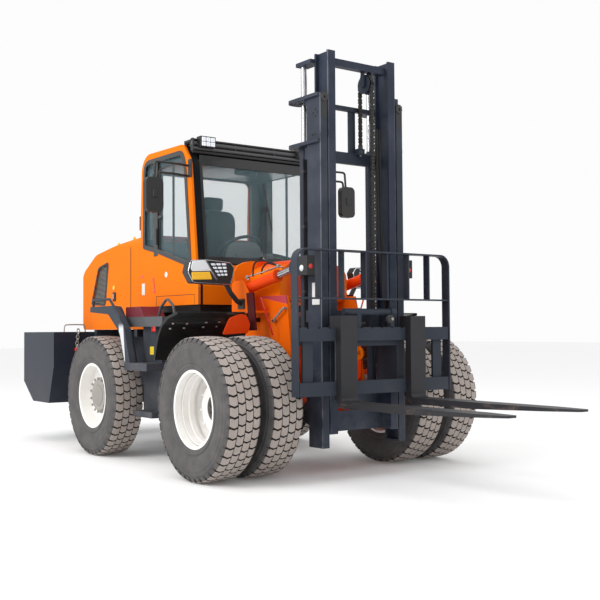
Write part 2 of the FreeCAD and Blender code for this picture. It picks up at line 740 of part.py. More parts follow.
def cab_inside():
    floor_z = cab_floor_top_z + seat_gap
    desk_z = cab_sill_z - 60
    desk_half = 200
    column = V(cab_nose_x - 230, 0, desk_z)
    column_top = V(cab_nose_x - 370, 0, desk_z + 210)
    tilt = (column_top - column).normalize()
    console = joined(box(cab_nose_x - 300, cab_nose_x - 105, -desk_half, desk_half, floor_z, desk_z),
                     side_prism([(cab_nose_x - 330, desk_z), (cab_nose_x - 110, desk_z),
                                 (cab_nose_x - 115, desk_z + 150), (cab_nose_x - 160, desk_z + 180)],
                                -desk_half, desk_half),
                     Part.makeCylinder(28, (column_top - column).Length, column, tilt))
    keep("console", console)
    wheel_radius = 190
    centre = column_top + tilt * 18
    across = V(0, 1, 0)
    along = tilt.cross(across).normalize()
    spokes = [Part.makeCylinder(10, wheel_radius, centre, way) for way in (across, -across, along)]
    keep("steering_wheel", joined(Part.makeTorus(wheel_radius, 15, centre, tilt),
                                  Part.makeCylinder(45, 30, column_top + tilt * seat_gap, tilt), *spokes))
    seat_x = cab_rear_x + 130
    pan_z = floor_z + 240
    post_half = 60
    keep("seat_base", joined(box(seat_x + 40, seat_x + 420, -200, 200, floor_z, floor_z + 60),
                             box(seat_x + 80, seat_x + 380, -170, 170, floor_z + 60, pan_z - 40),
                             box(seat_x, seat_x + 440, -240, 240, pan_z - 40, pan_z),
                             box(seat_x, seat_x + 60, -post_half, post_half, pan_z - 40, pan_z + 180)))
    cushion_top = pan_z + 110
    keep("seat_cushion", box(seat_x + 65, seat_x + 510, -250, 250, pan_z + seat_gap, cushion_top))
    back = side_prism([(seat_x + 61, pan_z + 20), (seat_x + 160, cushion_top + 6),
                       (seat_x + 100, pan_z + 560),
                       (seat_x + 65, pan_z + 720), (seat_x, pan_z + 720), (seat_x + 10, pan_z + 260)],
                      -230, 230, 20)
    post_room = box(seat_x - 5, seat_x + 66, -post_half - 10, post_half + 10, pan_z - 50, pan_z + 190)
    cushion_room = box(seat_x + 60, seat_x + 520, -260, 260, pan_z - 40, cushion_top + seat_gap)
    keep("seat_back", cut(back, post_room, cushion_room))


def cab_outside(hood_shape):
    mirror_x = cab_brow_x + 35
    mirror_y = 1033
    head_height = 292
    cab_shape = side_prism(cab_outline(-seat_gap), -cab_half_width - seat_gap, cab_half_width + seat_gap)

    def mirror(z, root_z):
        head = cross_prism([(mirror_y - 80, z), (mirror_y + 80, z), (mirror_y + 80, z + head_height),
                            (mirror_y - 80, z + head_height)], mirror_x - 30, mirror_x + 30, 45)
        arms = [pipe([(cab_brow_x - 40, cab_half_width - 10, z + root), (cab_brow_x - 20, 800, z + root + 5),
                      (mirror_x, mirror_y - lean - 20, z + root - 5), (mirror_x, mirror_y - lean, z + 180)],
                     10, 25)
                for root, lean in ((root_z + 90, 0), (root_z, 25))]
        return joined(head, *arms).cut(cab_shape)

    keep("mirrors", mirror(cab_brow_z - 395, 345), mirrored(mirror(cab_brow_z - 479, 345)))
    half = 640
    lamp_y = 520
    plate_z = cab_roof_z + 22
    visor = joined(box(cab_roof_x - 20, cab_roof_x + 110, -half, half, cab_roof_z - 10, plate_z),
                   box(cab_roof_x + 75, cab_roof_x + 110, -half, half, cab_roof_z - 40, plate_z))
    lamp = box(cab_roof_x + 118, cab_roof_x + 188, lamp_y - 75, lamp_y + 75, plate_z - 72, plate_z + 20)
    stem = cylinder(10, (cab_roof_x + 100, lamp_y, plate_z - 20), (cab_roof_x + 120, lamp_y, plate_z - 20))
    keep("work_lamps", joined(visor.cut(cab_shape), *both(lamp), *both(stem)))

    def on_hood(lower_radius, upper_radius, x, y, step_z, top_z):
        shape = joined(cylinder(lower_radius, (x, y, hood_top_z - 150), (x, y, step_z)),
                       cylinder(upper_radius, (x, y, step_z - 10), (x, y, top_z)))
        return shape.cut(hood_shape).translated(V(0, 0, seat_gap))

    keep("air_cleaner", on_hood(30, 62, rear_axle_x - 190, -470, hood_top_z + 80, hood_top_z + 200))
    keep("exhaust", on_hood(45, 32, rear_axle_x - 550, 250, hood_top_z + 30, hood_top_z + 220))


# ---- front frame ----

def front_frame():
    inner = tower_half_width - tower_plate
    lug_x = pivot_x + 330
    foot_z = lower_lug_z - 40
    side = side_prism([(lug_x, foot_z), (-250, foot_z - 50), (120, foot_z - 110), (mast_pin_x - 60, 400, 20),
                       (mast_pin_x - 60, 520, 20), (130, 560), (118, 640), (92, 720), (60, 970), (20, 1300),
                       (-8, tower_top_z), (tower_rear_x, tower_top_z),
                       (tower_rear_x - 60, tower_top_z - 220),
                       (lug_x, upper_lug_z + 80)], inner, tower_half_width)
    axle_hole = box(-145, 145, inner - 1, tower_half_width + 1, hub_z - 150, axle_seat_z)
    nose = side_prism([(mast_pin_x - 110, mast_pin_z - 55), (mast_pin_x, mast_pin_z - 50, 40),
                       (mast_pin_x + 50, mast_pin_z, 40), (mast_pin_x, mast_pin_z + 50, 40),
                       (mast_pin_x - 110, mast_pin_z + 75)], inner, tower_half_width)
    pin = cylinder(mast_pin_radius, (mast_pin_x, inner - 10, mast_pin_z), (mast_pin_x, 432, mast_pin_z))
    ties = [box(lug_x, lug_x + 30, -inner, inner, foot_z, upper_lug_z + 80),
            box(-40, -5, -inner, inner, 750, 860),
            box(tower_rear_x + 20, -130, -inner, inner, tower_top_z - 40, tower_top_z - 15),
            box(-600, -250, -inner, inner, foot_z, foot_z + 25)]
    lugs = []
    for z in (upper_lug_z, lower_lug_z):
        top = z + pivot_lug_thickness
        r = pivot_lug_radius
        lug = plan_prism([(lug_x + 10, -300), (lug_x + 10, 300), (pivot_x + 60, r), (pivot_x, r),
                          (pivot_x, -r), (pivot_x + 60, -r)], z, top)
        lug = lug.fuse(cylinder(r, (pivot_x, 0, z), (pivot_x, 0, top)))
        lugs.append(lug.cut(cylinder(pivot_pin_radius + running_gap, (pivot_x, 0, z - 1),
                                     (pivot_x, 0, top + 1))))
    steer_arm = box(pivot_x + 70, lug_x + 15, 150, steer_y + 40, steer_z - 70, steer_z - 40)
    # the tilt cylinders' brackets: an outer plate each, a floor and the base pin
    rear_x = tilt_base_x - 55
    out_y = bracket_inner_y + bracket_plate
    plate = side_prism([(rear_x, bracket_floor_z), (-215, bracket_floor_z + 10), (tilt_base_x + 180, 1440),
                        (tilt_base_x + 100, 1530, 30), (rear_x + 25, 1530, 40), (rear_x, 1495)],
                       bracket_inner_y, out_y)
    plate_floor = box(rear_x, -230, tower_half_width - 5, out_y, bracket_floor_z, bracket_floor_z + 18)
    base_pin = cylinder(tilt_pin_radius, (tilt_base_x, bracket_inner_y - 128, tilt_base_z),
                        (tilt_base_x, out_y - 2, tilt_base_z))
    frame = joined(*both(side.cut(axle_hole)), *both(nose), *both(pin), *ties, *lugs, *both(steer_arm),
                   *both(plate), *both(plate_floor), *both(base_pin))
    keep("front_frame", frame)


def front_cover():
    bottom = tower_top_z + seat_gap
    top = tower_top_z + 315
    rear_x = tilt_base_x - 98
    arch_x = rear_x + 50
    body_x1 = -110

    def arch(inset):
        half = cover_arch_half_width - inset
        return even([(half, bottom), (half, top - 110, 40), (half - 38, top - 50, 60),
                     (half - 150, top - 12 - inset, 250), (0, top - inset)][:-1])

    def body(inset):
        half = cover_half_width - inset
        return even([(half, bottom), (half, top - 105 - inset, 110), (half - 190, top - 12 - inset, 260)])

    solid = joined(cross_prism(arch(0), rear_x, arch_x), cross_prism(body(0), rear_x, body_x1))
    half = cover_arch_half_width
    solid = solid.common(plan_prism(
        [(body_x1, half), (rear_x + 42, half), (rear_x, half - 110), (rear_x, 110 - half),
         (rear_x + 42, -half), (body_x1, -half)], bottom, top))
    arch_room = cross_prism(arch(cover_sheet), rear_x - 1, arch_x - cover_sheet)
    body_room = cross_prism(body(cover_sheet), rear_x - 1, body_x1 - cover_sheet)
    below = box(rear_x - 1, body_x1 - cover_sheet, -cover_half_width + cover_sheet,
                cover_half_width - cover_sheet, bottom - 1, bottom + 1)
    keep("front_cover", cut(solid, arch_room, body_room, below))


def front_fenders():
    """Sheet bent round each pair of front tyres, with an edge turned in towards the hub."""
    outline = [(-580, 357), (-541, 475, 120), (-505, 560, 120), (-445, 642, 150), (-350, 694, 200),
               (fender_front_x, fender_top_z - hub_z)]

    def inward(depth):
        moved = []
        for x, rise, *radius in outline:
            share = 1 - depth / math.hypot(x, rise)
            moved.append((x * share, hub_z + rise * share, *radius))
        return moved

    strip = side_prism(inward(0) + inward(sheet)[::-1], fender_inner_y, fender_outer_y)
    lips = [side_prism(inward(0) + inward(fender_lip)[::-1], y, y + sheet)
            for y in (fender_inner_y, fender_outer_y - sheet)]
    arm = box(-420, -370, tower_half_width + seat_gap, fender_inner_y + 60, fender_top_z - 78,
              fender_top_z - 44)
    keep("front_fenders", *both(joined(strip, *lips, arm)))


def headlamps():
    top_z = lamp_bottom_z + lamp_height
    face = [(lamp_outer_y - 25, top_z - 10), (lamp_outer_y, top_z - 105),
            (lamp_outer_y - 50, lamp_bottom_z + 10),
            (lamp_inner_y + 35, lamp_bottom_z), (lamp_inner_y, lamp_bottom_z + 135),
            (lamp_inner_y + 35, top_z - 15), (lamp_inner_y + 255, top_z)]
    lamp = cross_prism(face, lamp_x - lamp_depth, lamp_x, 20)
    foot_y = bracket_inner_y + bracket_plate + seat_gap
    foot_z = bracket_floor_z + 75
    arm_x = lamp_x - 35
    arm = pipe([(arm_x, lamp_inner_y + 60, lamp_bottom_z + 15),
                (arm_x, lamp_inner_y + 15, lamp_bottom_z - 60),
                (arm_x, foot_y + 45, foot_z + 20), (arm_x, foot_y + 3, foot_z)], 20, 30)
    foot = box(arm_x - 45, arm_x + 45, foot_y, foot_y + 12, foot_z - 40, foot_z + 40)
    arm = arm.common(box(arm_x - 100, arm_x + 100, foot_y, lamp_outer_y, 0, top_z))
    keep("headlamps", *both(joined(lamp, arm, foot)))


# ---- mast ----

def rail(in_y, out_y, bottom, top, web_y):
    """Rail of two flanges and a web at web_y."""
    return joined(box(mast_front_x - flange, mast_front_x, in_y, out_y, bottom, top),
                  box(rail_back_x, rail_back_x + flange, in_y, out_y, bottom, top),
                  box(rail_back_x, mast_front_x, web_y, web_y + web, bottom, top))


def roller(y0, y1, z, radius):
    middle = mast_front_x - rail_depth / 2
    return cylinder(radius, (middle, y0, z), (middle, y1, z))


outer_web_y = outer_rail_out_y - web
inner_web_y = (inner_rail_in_y + inner_rail_out_y - web) / 2


def outer_mast():
    into_web = rail_back_x + 5
    side_rail = rail(outer_rail_in_y, outer_rail_out_y, outer_bottom_z, outer_top_z, outer_web_y)
    roller_z = outer_top_z - 90
    top_roller = joined(roller(inner_web_y + web + moving_gap, inner_rail_out_y + 8, roller_z,
                               roller_radius),
                        roller(inner_web_y + web + moving_gap, outer_web_y + 11, roller_z,
                               roller_stub_radius))
    bottom_cap = box(rail_back_x, mast_front_x, outer_rail_in_y, outer_rail_out_y, outer_bottom_z,
                     outer_bottom_z + 14)
    inner_edge = lift_y - 45
    outer_edge = outer_rail_out_y + 22
    outline = [(lift_x - 110, inner_edge, 40), (lift_x - 110, outer_edge, 60),
               (mast_front_x - 10, outer_edge, 20), (mast_front_x - 10, outer_rail_out_y - 8),
               (into_web, outer_rail_out_y - 8), (into_web, outer_rail_in_y + 3),
               (rail_back_x - 8, outer_rail_in_y + 3), (rail_back_x - 8, inner_edge)]
    plates = []
    for z in (outer_top_z - 20, lift_barrel_top_z):
        hole = cylinder(lift_rod_radius + 8, (lift_x, lift_y, z - 1), (lift_x, lift_y, z + 40))
        plates.append(plan_prism(outline, z, z + 26).cut(hole))
    foot = box(lift_x - 50, into_web, inner_edge, outer_rail_in_y + 40, lift_foot_z - 30, lift_foot_z)
    foot = foot.cut(box(rail_back_x - moving_gap, into_web + 1, 0, outer_rail_in_y, 0, lift_foot_z + 1))
    ear_y = tower_half_width + moving_gap
    ear = side_prism([(mast_pin_x - 55, mast_pin_z - 45, 40), (into_web, mast_pin_z - 90),
                      (into_web, mast_pin_z + 130), (mast_pin_x - 55, mast_pin_z + 50, 40)], ear_y,
                      ear_y + 24)
    ear = ear.cut(cylinder(mast_pin_radius + running_gap, (mast_pin_x, ear_y - 1, mast_pin_z),
                           (mast_pin_x, ear_y + 25, mast_pin_z)))
    tilt_ear = [(tilt_eye_x - 40, tilt_eye_z - 40, 35), (into_web, tilt_eye_z - 70),
                (into_web, tilt_eye_z + 70), (tilt_eye_x - 40, tilt_eye_z + 40, 35)]
    tilt_ears = [side_prism(tilt_ear, y, y + 13) for y in (tilt_y - 46, tilt_y + 33)]
    tilt_pad = box(rail_back_x - 10, rail_back_x + 30, outer_rail_out_y - 6, tilt_y + 46,
                   tilt_eye_z - 70, tilt_eye_z + 70)
    tilt_back = box(rail_back_x - 10, rail_back_x + 1, tilt_y - 46, outer_rail_out_y,
                    tilt_eye_z - 70, tilt_eye_z + 70)
    ties = []
    tie_back_x = rail_back_x - 42
    tie_half = outer_rail_out_y - 10
    for z0, z1 in ((outer_top_z - 55, outer_top_z - 20), (lift_barrel_top_z - 105, lift_barrel_top_z - 15),
                   (1180, 1270), (520, 640)):
        ties.append(box(tie_back_x, rail_back_x - moving_gap, -tie_half, tie_half, z0, z1))
        ties += both(box(tie_back_x, rail_back_x + 4, outer_rail_in_y + 4, tie_half, z0, z1))
    hook_z = chain_anchor_z - 50
    anchor = box(tie_back_x, tie_back_x + 22, chain_y - 80, chain_y - 20, hook_z, outer_top_z - 50)
    hook = box(tie_back_x, sheave_x - sheave_radius + 16, chain_y - 30, chain_y + 30, hook_z, chain_anchor_z)
    hose_bracket = box(mast_front_x - 50, mast_front_x - 38, outer_rail_in_y + 5, outer_rail_out_y - 7,
                       outer_top_z - 5, outer_top_z + 65)
    left = joined(side_rail, top_roller, bottom_cap, foot, *plates, ear, *tilt_ears, tilt_pad, tilt_back)
    keep("outer_mast", joined(*both(left), *ties, anchor, hook, hose_bracket))


def lift_cylinders():
    def at(z):
        return lift_x, lift_y, z

    barrel = cylinder(lift_barrel_radius, at(lift_foot_z + seat_gap), at(lift_barrel_top_z - seat_gap))
    bore = cylinder(lift_rod_radius + running_gap, at(lift_foot_z + 30), at(lift_barrel_top_z + 1))
    keep("lift_cylinders", *both(barrel.cut(bore)))
    keep("lift_rods", *both(cylinder(lift_rod_radius, at(lift_foot_z + 310), at(lift_head_z - seat_gap))))


def inner_mast():
    side_rail = rail(inner_rail_in_y, inner_rail_out_y, inner_bottom_z, inner_top_z, inner_web_y)
    roller_z = inner_bottom_z + 250
    low_roller = joined(roller(outer_rail_in_y + 10, outer_web_y - 2, roller_z, roller_radius),
                        roller(inner_web_y + web - 5, outer_rail_in_y + 12, roller_z, roller_stub_radius))
    head = box(lift_x - 45, rail_back_x + 5, inner_rail_in_y + 10, lift_y + 45, lift_head_z,
               lift_head_z + 30)
    tie_half = inner_rail_in_y + 5
    top_tie_z = inner_top_z - 100
    top = box(mast_front_x - 95, mast_front_x - 35, -tie_half, tie_half, top_tie_z, top_tie_z + 55)
    low = box(rail_back_x, rail_back_x + 13, -tie_half, tie_half, inner_bottom_z, inner_bottom_z + 155)
    cheek_y = 30
    cheek = 10
    hangers = [box(sheave_x - 17, sheave_x + 23, y, y + cheek, sheave_z - 22, top_tie_z + 5)
               for y in (chain_y - cheek_y - cheek, chain_y + cheek_y)]
    axle_radius = 16
    axle_pin = cylinder(axle_radius, (sheave_x, chain_y - cheek_y - cheek, sheave_z),
                        (sheave_x, chain_y + cheek_y + cheek, sheave_z))
    groove = sheave_radius - 12
    profile = [(groove, 17), (sheave_radius, 19), (sheave_radius, 24), (axle_radius, 24)]
    wheel = turned([(r, -y) for r, y in reversed(profile)] + profile, sheave_x, chain_y, sheave_z)
    keep("inner_mast",
         joined(*both(joined(side_rail, low_roller, head)), top, low, *hangers, axle_pin, wheel))
    near = groove + seat_gap
    far = near + chain_thickness
    y0 = chain_y - chain_width / 2 + 1
    y1 = chain_y + chain_width / 2 - 1
    loop = turned([(near, y0 - chain_y), (far, y0 - chain_y), (far, y1 - chain_y), (near, y1 - chain_y)],
                  sheave_x, chain_y, sheave_z)
    loop = loop.common(box(sheave_x - far, sheave_x + far, y0, y1, sheave_z, sheave_z + far))
    rear_run = box(sheave_x - far, sheave_x - near, y0, y1, chain_anchor_z + seat_gap, sheave_z)
    front_run = box(sheave_x + near, sheave_x + far, y0, y1, chain_post_z + seat_gap, sheave_z)
    keep("lift_chain", joined(loop, rear_run, front_run))


def carriage():
    low_z = lower_bar_top_z - bar_height
    bars = [box(carriage_back_x, carriage_front_x, -carriage_half_width, carriage_half_width,
                top_z - bar_height, top_z) for top_z in (upper_bar_top_z, lower_bar_top_z)]
    plate = box(rail_back_x + 60, carriage_back_x + 5, inner_rail_in_y - 35, inner_rail_in_y - 10,
                low_z, upper_bar_top_z - 52)
    rollers = []
    for z in (low_z + 75, upper_bar_top_z - 130):
        rollers += [roller(inner_rail_in_y - 4, inner_web_y - 3, z, roller_radius),
                    roller(inner_rail_in_y - 15, inner_rail_in_y, z, 22)]
    cross = box(rail_back_x + 95, carriage_back_x + 5, -inner_rail_in_y + 12, inner_rail_in_y - 12,
                upper_bar_top_z - 140, upper_bar_top_z - 100)
    chain_post = box(mast_front_x - 55, mast_front_x + 10, chain_y - 40, chain_y + 40,
                     upper_bar_top_z - 110, chain_post_z)
    ties = both(box(carriage_back_x, carriage_back_x + 20, 595, 685, lower_bar_top_z - 5,
                    upper_bar_top_z - bar_height + 5))
    shift_x = carriage_back_x + 10
    shift_z = fork_top_z + moving_gap + shift_radius
    shift = [cylinder(shift_radius, (shift_x, -300, shift_z), (shift_x, 210, shift_z)),
             cylinder(shift_radius + 12, (shift_x, 150, shift_z), (shift_x, 195, shift_z))]
    shift += both(box(shift_x - 20, shift_x + 20, 145, 185, upper_bar_top_z - 5, shift_z))
    keep("carriage", joined(*bars, *both(joined(plate, *rollers)), cross, chain_post, *ties, *shift))


def load_guard():
    half = carriage_half_width + guard_bar + 8
    bottom = lower_bar_top_z - bar_height
    t = guard_bar
    r = guard_corner_radius
    front = guard_back_x + guard_depth
    hoop = cross_prism(even([(half, bottom), (half, guard_top_z, r)]), guard_back_x, front)
    room = cross_prism(even([(half - t, bottom - 1), (half - t, guard_top_z - t, r - t)]),
                       guard_back_x - 1, front + 1)
    slat_x = guard_back_x + (guard_depth - guard_slat_depth) / 2
    mid = box(slat_x, slat_x + guard_slat_depth, -half + 4, half - 4, guard_mid_z - t / 2,
              guard_mid_z + t / 2)
    bay = 2 * half / guard_bays
    slats = [box(slat_x, slat_x + guard_slat_depth, i * bay - half - t / 2, i * bay - half + t / 2,
                 guard_mid_z, guard_top_z - t / 2) for i in range(1, guard_bays)]
    feet = []
    for top_z in (upper_bar_top_z, lower_bar_top_z):
        feet += both(box(carriage_back_x, carriage_front_x - 5, carriage_half_width + seat_gap, half - 4,
                         top_z - bar_height + 10, top_z - 10))
    keep("load_guard", joined(hoop.cut(room), mid, *slats, *feet))


def forks():
    back = carriage_front_x + seat_gap
    half = fork_width / 2
    blade_bottom_z = blade_top_z - fork_thickness
    profile = side_prism([(back, fork_top_z), (fork_front_x, fork_top_z), (fork_front_x, blade_top_z, 30),
                          (fork_tip_x, blade_top_z), (fork_tip_x, blade_top_z - fork_tip_thickness),
                          (fork_tip_x - fork_taper_length, blade_bottom_z), (back, blade_bottom_z, 70)],
                         -half, half)
    point_x = fork_tip_x - 260
    plan = plan_prism([(back, -half), (point_x, -half), (fork_tip_x, 35 - half, 25),
                       (fork_tip_x, half - 35, 25), (point_x, half), (back, half)],
                      blade_bottom_z - 1, fork_top_z + 1)
    lip_x = carriage_back_x - moving_gap
    hook_top = side_prism([(back + 1, upper_bar_top_z + seat_gap), (back + 1, fork_top_z),
                           (lip_x - 18, fork_top_z), (lip_x - 18, upper_bar_top_z - 40),
                           (lip_x, upper_bar_top_z - 40), (lip_x, upper_bar_top_z + seat_gap)],
                          5 - half, half - 5)
    hook_z = lower_bar_top_z - bar_height - moving_gap
    hook_low = box(carriage_back_x + 10, back + 1, 20 - half, half - 20, hook_z - 30, hook_z)
    fork = joined(profile.common(plan), hook_top, hook_low)
    keep("fork_left", fork.translated(V(0, fork_left_y, 0)))
    keep("fork_right", fork.translated(V(0, -fork_right_y, 0)))


# ---- cylinders between the frames and to the mast ----

def eye(radius, width, centre, axis):
    return Part.makeCylinder(radius, width, centre - axis * (width / 2), axis)


def tilt_cylinders():
    base = V(tilt_base_x, tilt_y, tilt_base_z)
    tip = V(tilt_eye_x, tilt_y, tilt_eye_z)
    across = V(0, 1, 0)
    length = (tip - base).Length
    way = (tip - base).normalize()
    neck = 60
    gland = 40
    barrel = joined(Part.makeCylinder(tilt_barrel_radius, tilt_barrel_length - neck, base + way * neck, way),
                    Part.makeCylinder(tilt_barrel_radius + 6, gland,
                                      base + way * (tilt_barrel_length - gland), way),
                    eye(tilt_barrel_radius - 6, neck, base, across),
                    Part.makeCylinder(tilt_barrel_radius - 10, neck + 10, base, way))
    barrel = cut(barrel, eye(tilt_pin_radius + running_gap, 2 * neck, base, across),
                 Part.makeCylinder(tilt_rod_radius + running_gap, tilt_barrel_length, base + way * 110, way))
    keep("tilt_cylinders", *both(barrel))
    rod = joined(Part.makeCylinder(tilt_rod_radius, length - tilt_rod_start - 20,
                                   base + way * tilt_rod_start, way),
                 Part.makeCylinder(tilt_rod_radius + 2, gland, tip - way * (gland + 18), way),
                 eye(tilt_eye_radius, 56, tip, across))
    keep("tilt_rods", *both(rod))


def steer_cylinders():
    way = V(1, 0, 0)
    up = V(0, 0, 1)
    eye_x = pivot_x + 110
    for name, y in (("left", steer_y), ("right", -steer_y)):
        base = V(steer_base_x, y, steer_z)
        barrel = joined(Part.makeCylinder(steer_barrel_radius, steer_barrel_length - 50, base + way * 50,
                                          way),
                        eye(steer_eye_radius, 80, base, up),
                        Part.makeCylinder(steer_barrel_radius - 10, 60, base, way))
        barrel = cut(barrel, eye(steer_pin_radius + running_gap, 100, base, up),
                     Part.makeCylinder(steer_rod_radius + running_gap, steer_barrel_length, base + way * 70,
                                       way))
        keep("steer_barrel_" + name, barrel)
        rod = joined(Part.makeCylinder(steer_rod_radius, eye_x - steer_base_x - 280, base + way * 260, way),
                     Part.makeCylinder(steer_eye_radius, steer_eye_height,
                                       V(eye_x, y, steer_z - 40 + seat_gap), up))
        keep("steer_rod_" + name, rod)


def side_lamps():
    """Lamps that stand out beside the mast rails."""
    keep("side_lamps", *both(box(rail_back_x + 42, rail_back_x + 146, outer_rail_out_y + seat_gap,
                                 outer_rail_out_y + 116, 1530, 1675)))


wheels()
axles()
rear_frame()
engine()
hood_outer = hood()
counterweight()
tanks_and_steps()
rear_fenders()
cab()
cab_inside()
cab_outside(hood_outer)
front_frame()
front_cover()
front_fenders()
headlamps()
outer_mast()
lift_cylinders()
inner_mast()
carriage()
load_guard()
forks()
tilt_cylinders()
steer_cylinders()
side_lamps()

os.makedirs("parts", exist_ok=True)
for name, shape in nodes.items():
    shape.translated(V(-origin_x, 0, 0)).exportStep(f"parts/{name}.step")
print(len(nodes), "nodes")
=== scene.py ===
import math
import random

import bmesh
import bpy
from mathutils import Matrix, Vector


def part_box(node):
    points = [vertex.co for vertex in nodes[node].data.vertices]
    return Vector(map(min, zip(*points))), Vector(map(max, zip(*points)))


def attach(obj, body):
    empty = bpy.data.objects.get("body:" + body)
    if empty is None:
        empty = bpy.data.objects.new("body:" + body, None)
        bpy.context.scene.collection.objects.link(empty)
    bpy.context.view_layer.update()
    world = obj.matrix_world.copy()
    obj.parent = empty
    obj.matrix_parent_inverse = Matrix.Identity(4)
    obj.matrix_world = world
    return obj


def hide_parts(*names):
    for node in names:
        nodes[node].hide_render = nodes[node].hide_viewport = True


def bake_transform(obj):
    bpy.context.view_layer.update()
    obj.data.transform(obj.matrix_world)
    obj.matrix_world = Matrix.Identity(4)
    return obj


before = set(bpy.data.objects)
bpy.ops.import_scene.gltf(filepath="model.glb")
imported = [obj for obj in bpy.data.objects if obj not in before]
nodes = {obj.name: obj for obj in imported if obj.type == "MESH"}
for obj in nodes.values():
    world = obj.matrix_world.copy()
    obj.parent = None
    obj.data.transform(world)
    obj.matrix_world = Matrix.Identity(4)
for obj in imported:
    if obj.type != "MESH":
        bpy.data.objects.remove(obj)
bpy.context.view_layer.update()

# Sizes below are in mm and measured from the front axle.
originX = 800


def place(x, y, z):
    return Vector(((x + originX) / 1000, y / 1000, z / 1000))


# ---- shader maths ----

class Sock:
    # one value in a material's tree; arithmetic on it makes the Math nodes
    def __init__(self, tree, socket):
        self.tree = tree
        self.socket = socket

    def math(self, operation, *others):
        node = self.tree.nodes.new("ShaderNodeMath")
        node.operation = operation
        for slot, value in zip(node.inputs, (self, *others)):
            connect(self.tree, slot, value)
        return Sock(self.tree, node.outputs[0])

    def flipped(self, operation, other):
        node = self.tree.nodes.new("ShaderNodeMath")
        node.operation = operation
        connect(self.tree, node.inputs[0], other)
        connect(self.tree, node.inputs[1], self)
        return Sock(self.tree, node.outputs[0])

    def __add__(self, other): return self.math("ADD", other)
    def __radd__(self, other): return self.flipped("ADD", other)
    def __sub__(self, other): return self.math("SUBTRACT", other)
    def __rsub__(self, other): return self.flipped("SUBTRACT", other)
    def __mul__(self, other): return self.math("MULTIPLY", other)
    def __rmul__(self, other): return self.flipped("MULTIPLY", other)
    def __pow__(self, other): return self.math("POWER", other)

    def step(self, low, high):
        # 0 below low, 1 above high, smooth between
        node = self.tree.nodes.new("ShaderNodeMapRange")
        node.interpolation_type = "SMOOTHSTEP"
        connect(self.tree, node.inputs["Value"], self)
        node.inputs["From Min"].default_value = low
        node.inputs["From Max"].default_value = high
        return Sock(self.tree, node.outputs["Result"])


def connect(tree, slot, value):
    if isinstance(value, Sock):
        tree.links.new(value.socket, slot)
    elif isinstance(value, (tuple, list, Vector)):
        slot.default_value = (*value, 1) if len(value) == 3 and slot.type == "RGBA" else value
    else:
        slot.default_value = value


class Paint:
    # a material with a Principled shader, and the nodes that feed it
    def __init__(self, name, color, roughness=0.5, metallic=0.0, coat=0.0, **fixed):
        self.material = bpy.data.materials.new(name)
        self.material.use_nodes = True
        self.material.diffuse_color = (*color, 1)
        self.tree = self.material.node_tree
        self.shader = self.tree.nodes["Principled BSDF"]
        self.set("Base Color", color)
        self.set("Roughness", roughness)
        self.set("Metallic", metallic)
        self.set("Coat Weight", coat)
        for name, value in fixed.items():
            self.set(name.replace("_", " "), value)

    def set(self, name, value):
        connect(self.tree, self.shader.inputs[name], value)

    def node(self, kind, settings=None, output=0, **inputs):
        node = self.tree.nodes.new(kind)
        for key, value in (settings or {}).items():
            setattr(node, key, value)
        for key, value in inputs.items():
            connect(self.tree, node.inputs[key.replace("_", " ")], value)
        return Sock(self.tree, node.outputs[output])

    def where(self):
        # the point on the part, in metres
        return self.node("ShaderNodeTexCoord", output="Object")

    def split(self, vector):
        node = self.tree.nodes.new("ShaderNodeSeparateXYZ")
        connect(self.tree, node.inputs[0], vector)
        return [Sock(self.tree, out) for out in node.outputs]

    def noise(self, scale, detail=3, vector=None, roughness=0.6):
        return self.node("ShaderNodeTexNoise", Vector=vector or self.where(), Scale=scale, Detail=detail,
                         Roughness=roughness)

    def mix(self, factor, first, second):
        node = self.tree.nodes.new("ShaderNodeMix")
        node.data_type = "RGBA"
        connect(self.tree, node.inputs["Factor"], factor)
        for slot, value in zip([s for s in node.inputs if s.type == "RGBA"], (first, second)):
            connect(self.tree, slot, value)
        return Sock(self.tree, [s for s in node.outputs if s.type == "RGBA"][0])

    def bump(self, height, strength, distance=0.001):
        self.set("Normal", self.node("ShaderNodeBump", Height=height, Strength=strength, Distance=distance))


# ---- finishes ----

finishes = {
    "orange": (0.86, 0.180, 0.004), "redOrange": (0.80, 0.062, 0.006), "frameOrange": (0.86, 0.135, 0.004),
    "mastGrey": (0.027, 0.033, 0.048), "chassisGrey": (0.028, 0.034, 0.045),
    "stepGrey": (0.045, 0.052, 0.066),
    "black": (0.007, 0.007, 0.008), "cream": (0.90, 0.88, 0.85), "dust": (0.30, 0.25, 0.20),
    "treadDust": (0.40, 0.345, 0.315), "dustHeight": 0.9, "glow": 0.05,
}


def bodyPaint(name, color, roughness=0.32, coat=0.5, dusty=0.25, wear=0.0):
    shine = 0.03 if max(color) > 0.3 else 0.18
    paint = Paint(name, color, roughness, 0, coat, Coat_Roughness=0.12, Specular_IOR_Level=shine)
    x, y, z = paint.split(paint.where())
    cloud = paint.noise(3.5, 5)
    speck = paint.noise(60, 3)
    low = 1 - z.step(0.25, finishes["dustHeight"])
    dirt = (cloud.step(0.42, 0.75) * 0.35 + low * cloud.step(0.3, 0.7)) * dusty
    shade = paint.mix(speck.step(0.55, 0.8) * 0.12, color, [c * 0.72 for c in color])
    if wear:
        bright = [min(1, c * 0.5 + 0.14) for c in color]
        shade = paint.mix(paint.noise(22, 6).step(0.64, 0.70) * wear, shade, bright)
    paint.set("Base Color", paint.mix(dirt, shade, finishes["dust"]))
    paint.set("Roughness", roughness + dirt * 0.6 + speck * 0.06)
    paint.bump(paint.noise(900, 2), 0.06, 0.0005)
    return paint.material


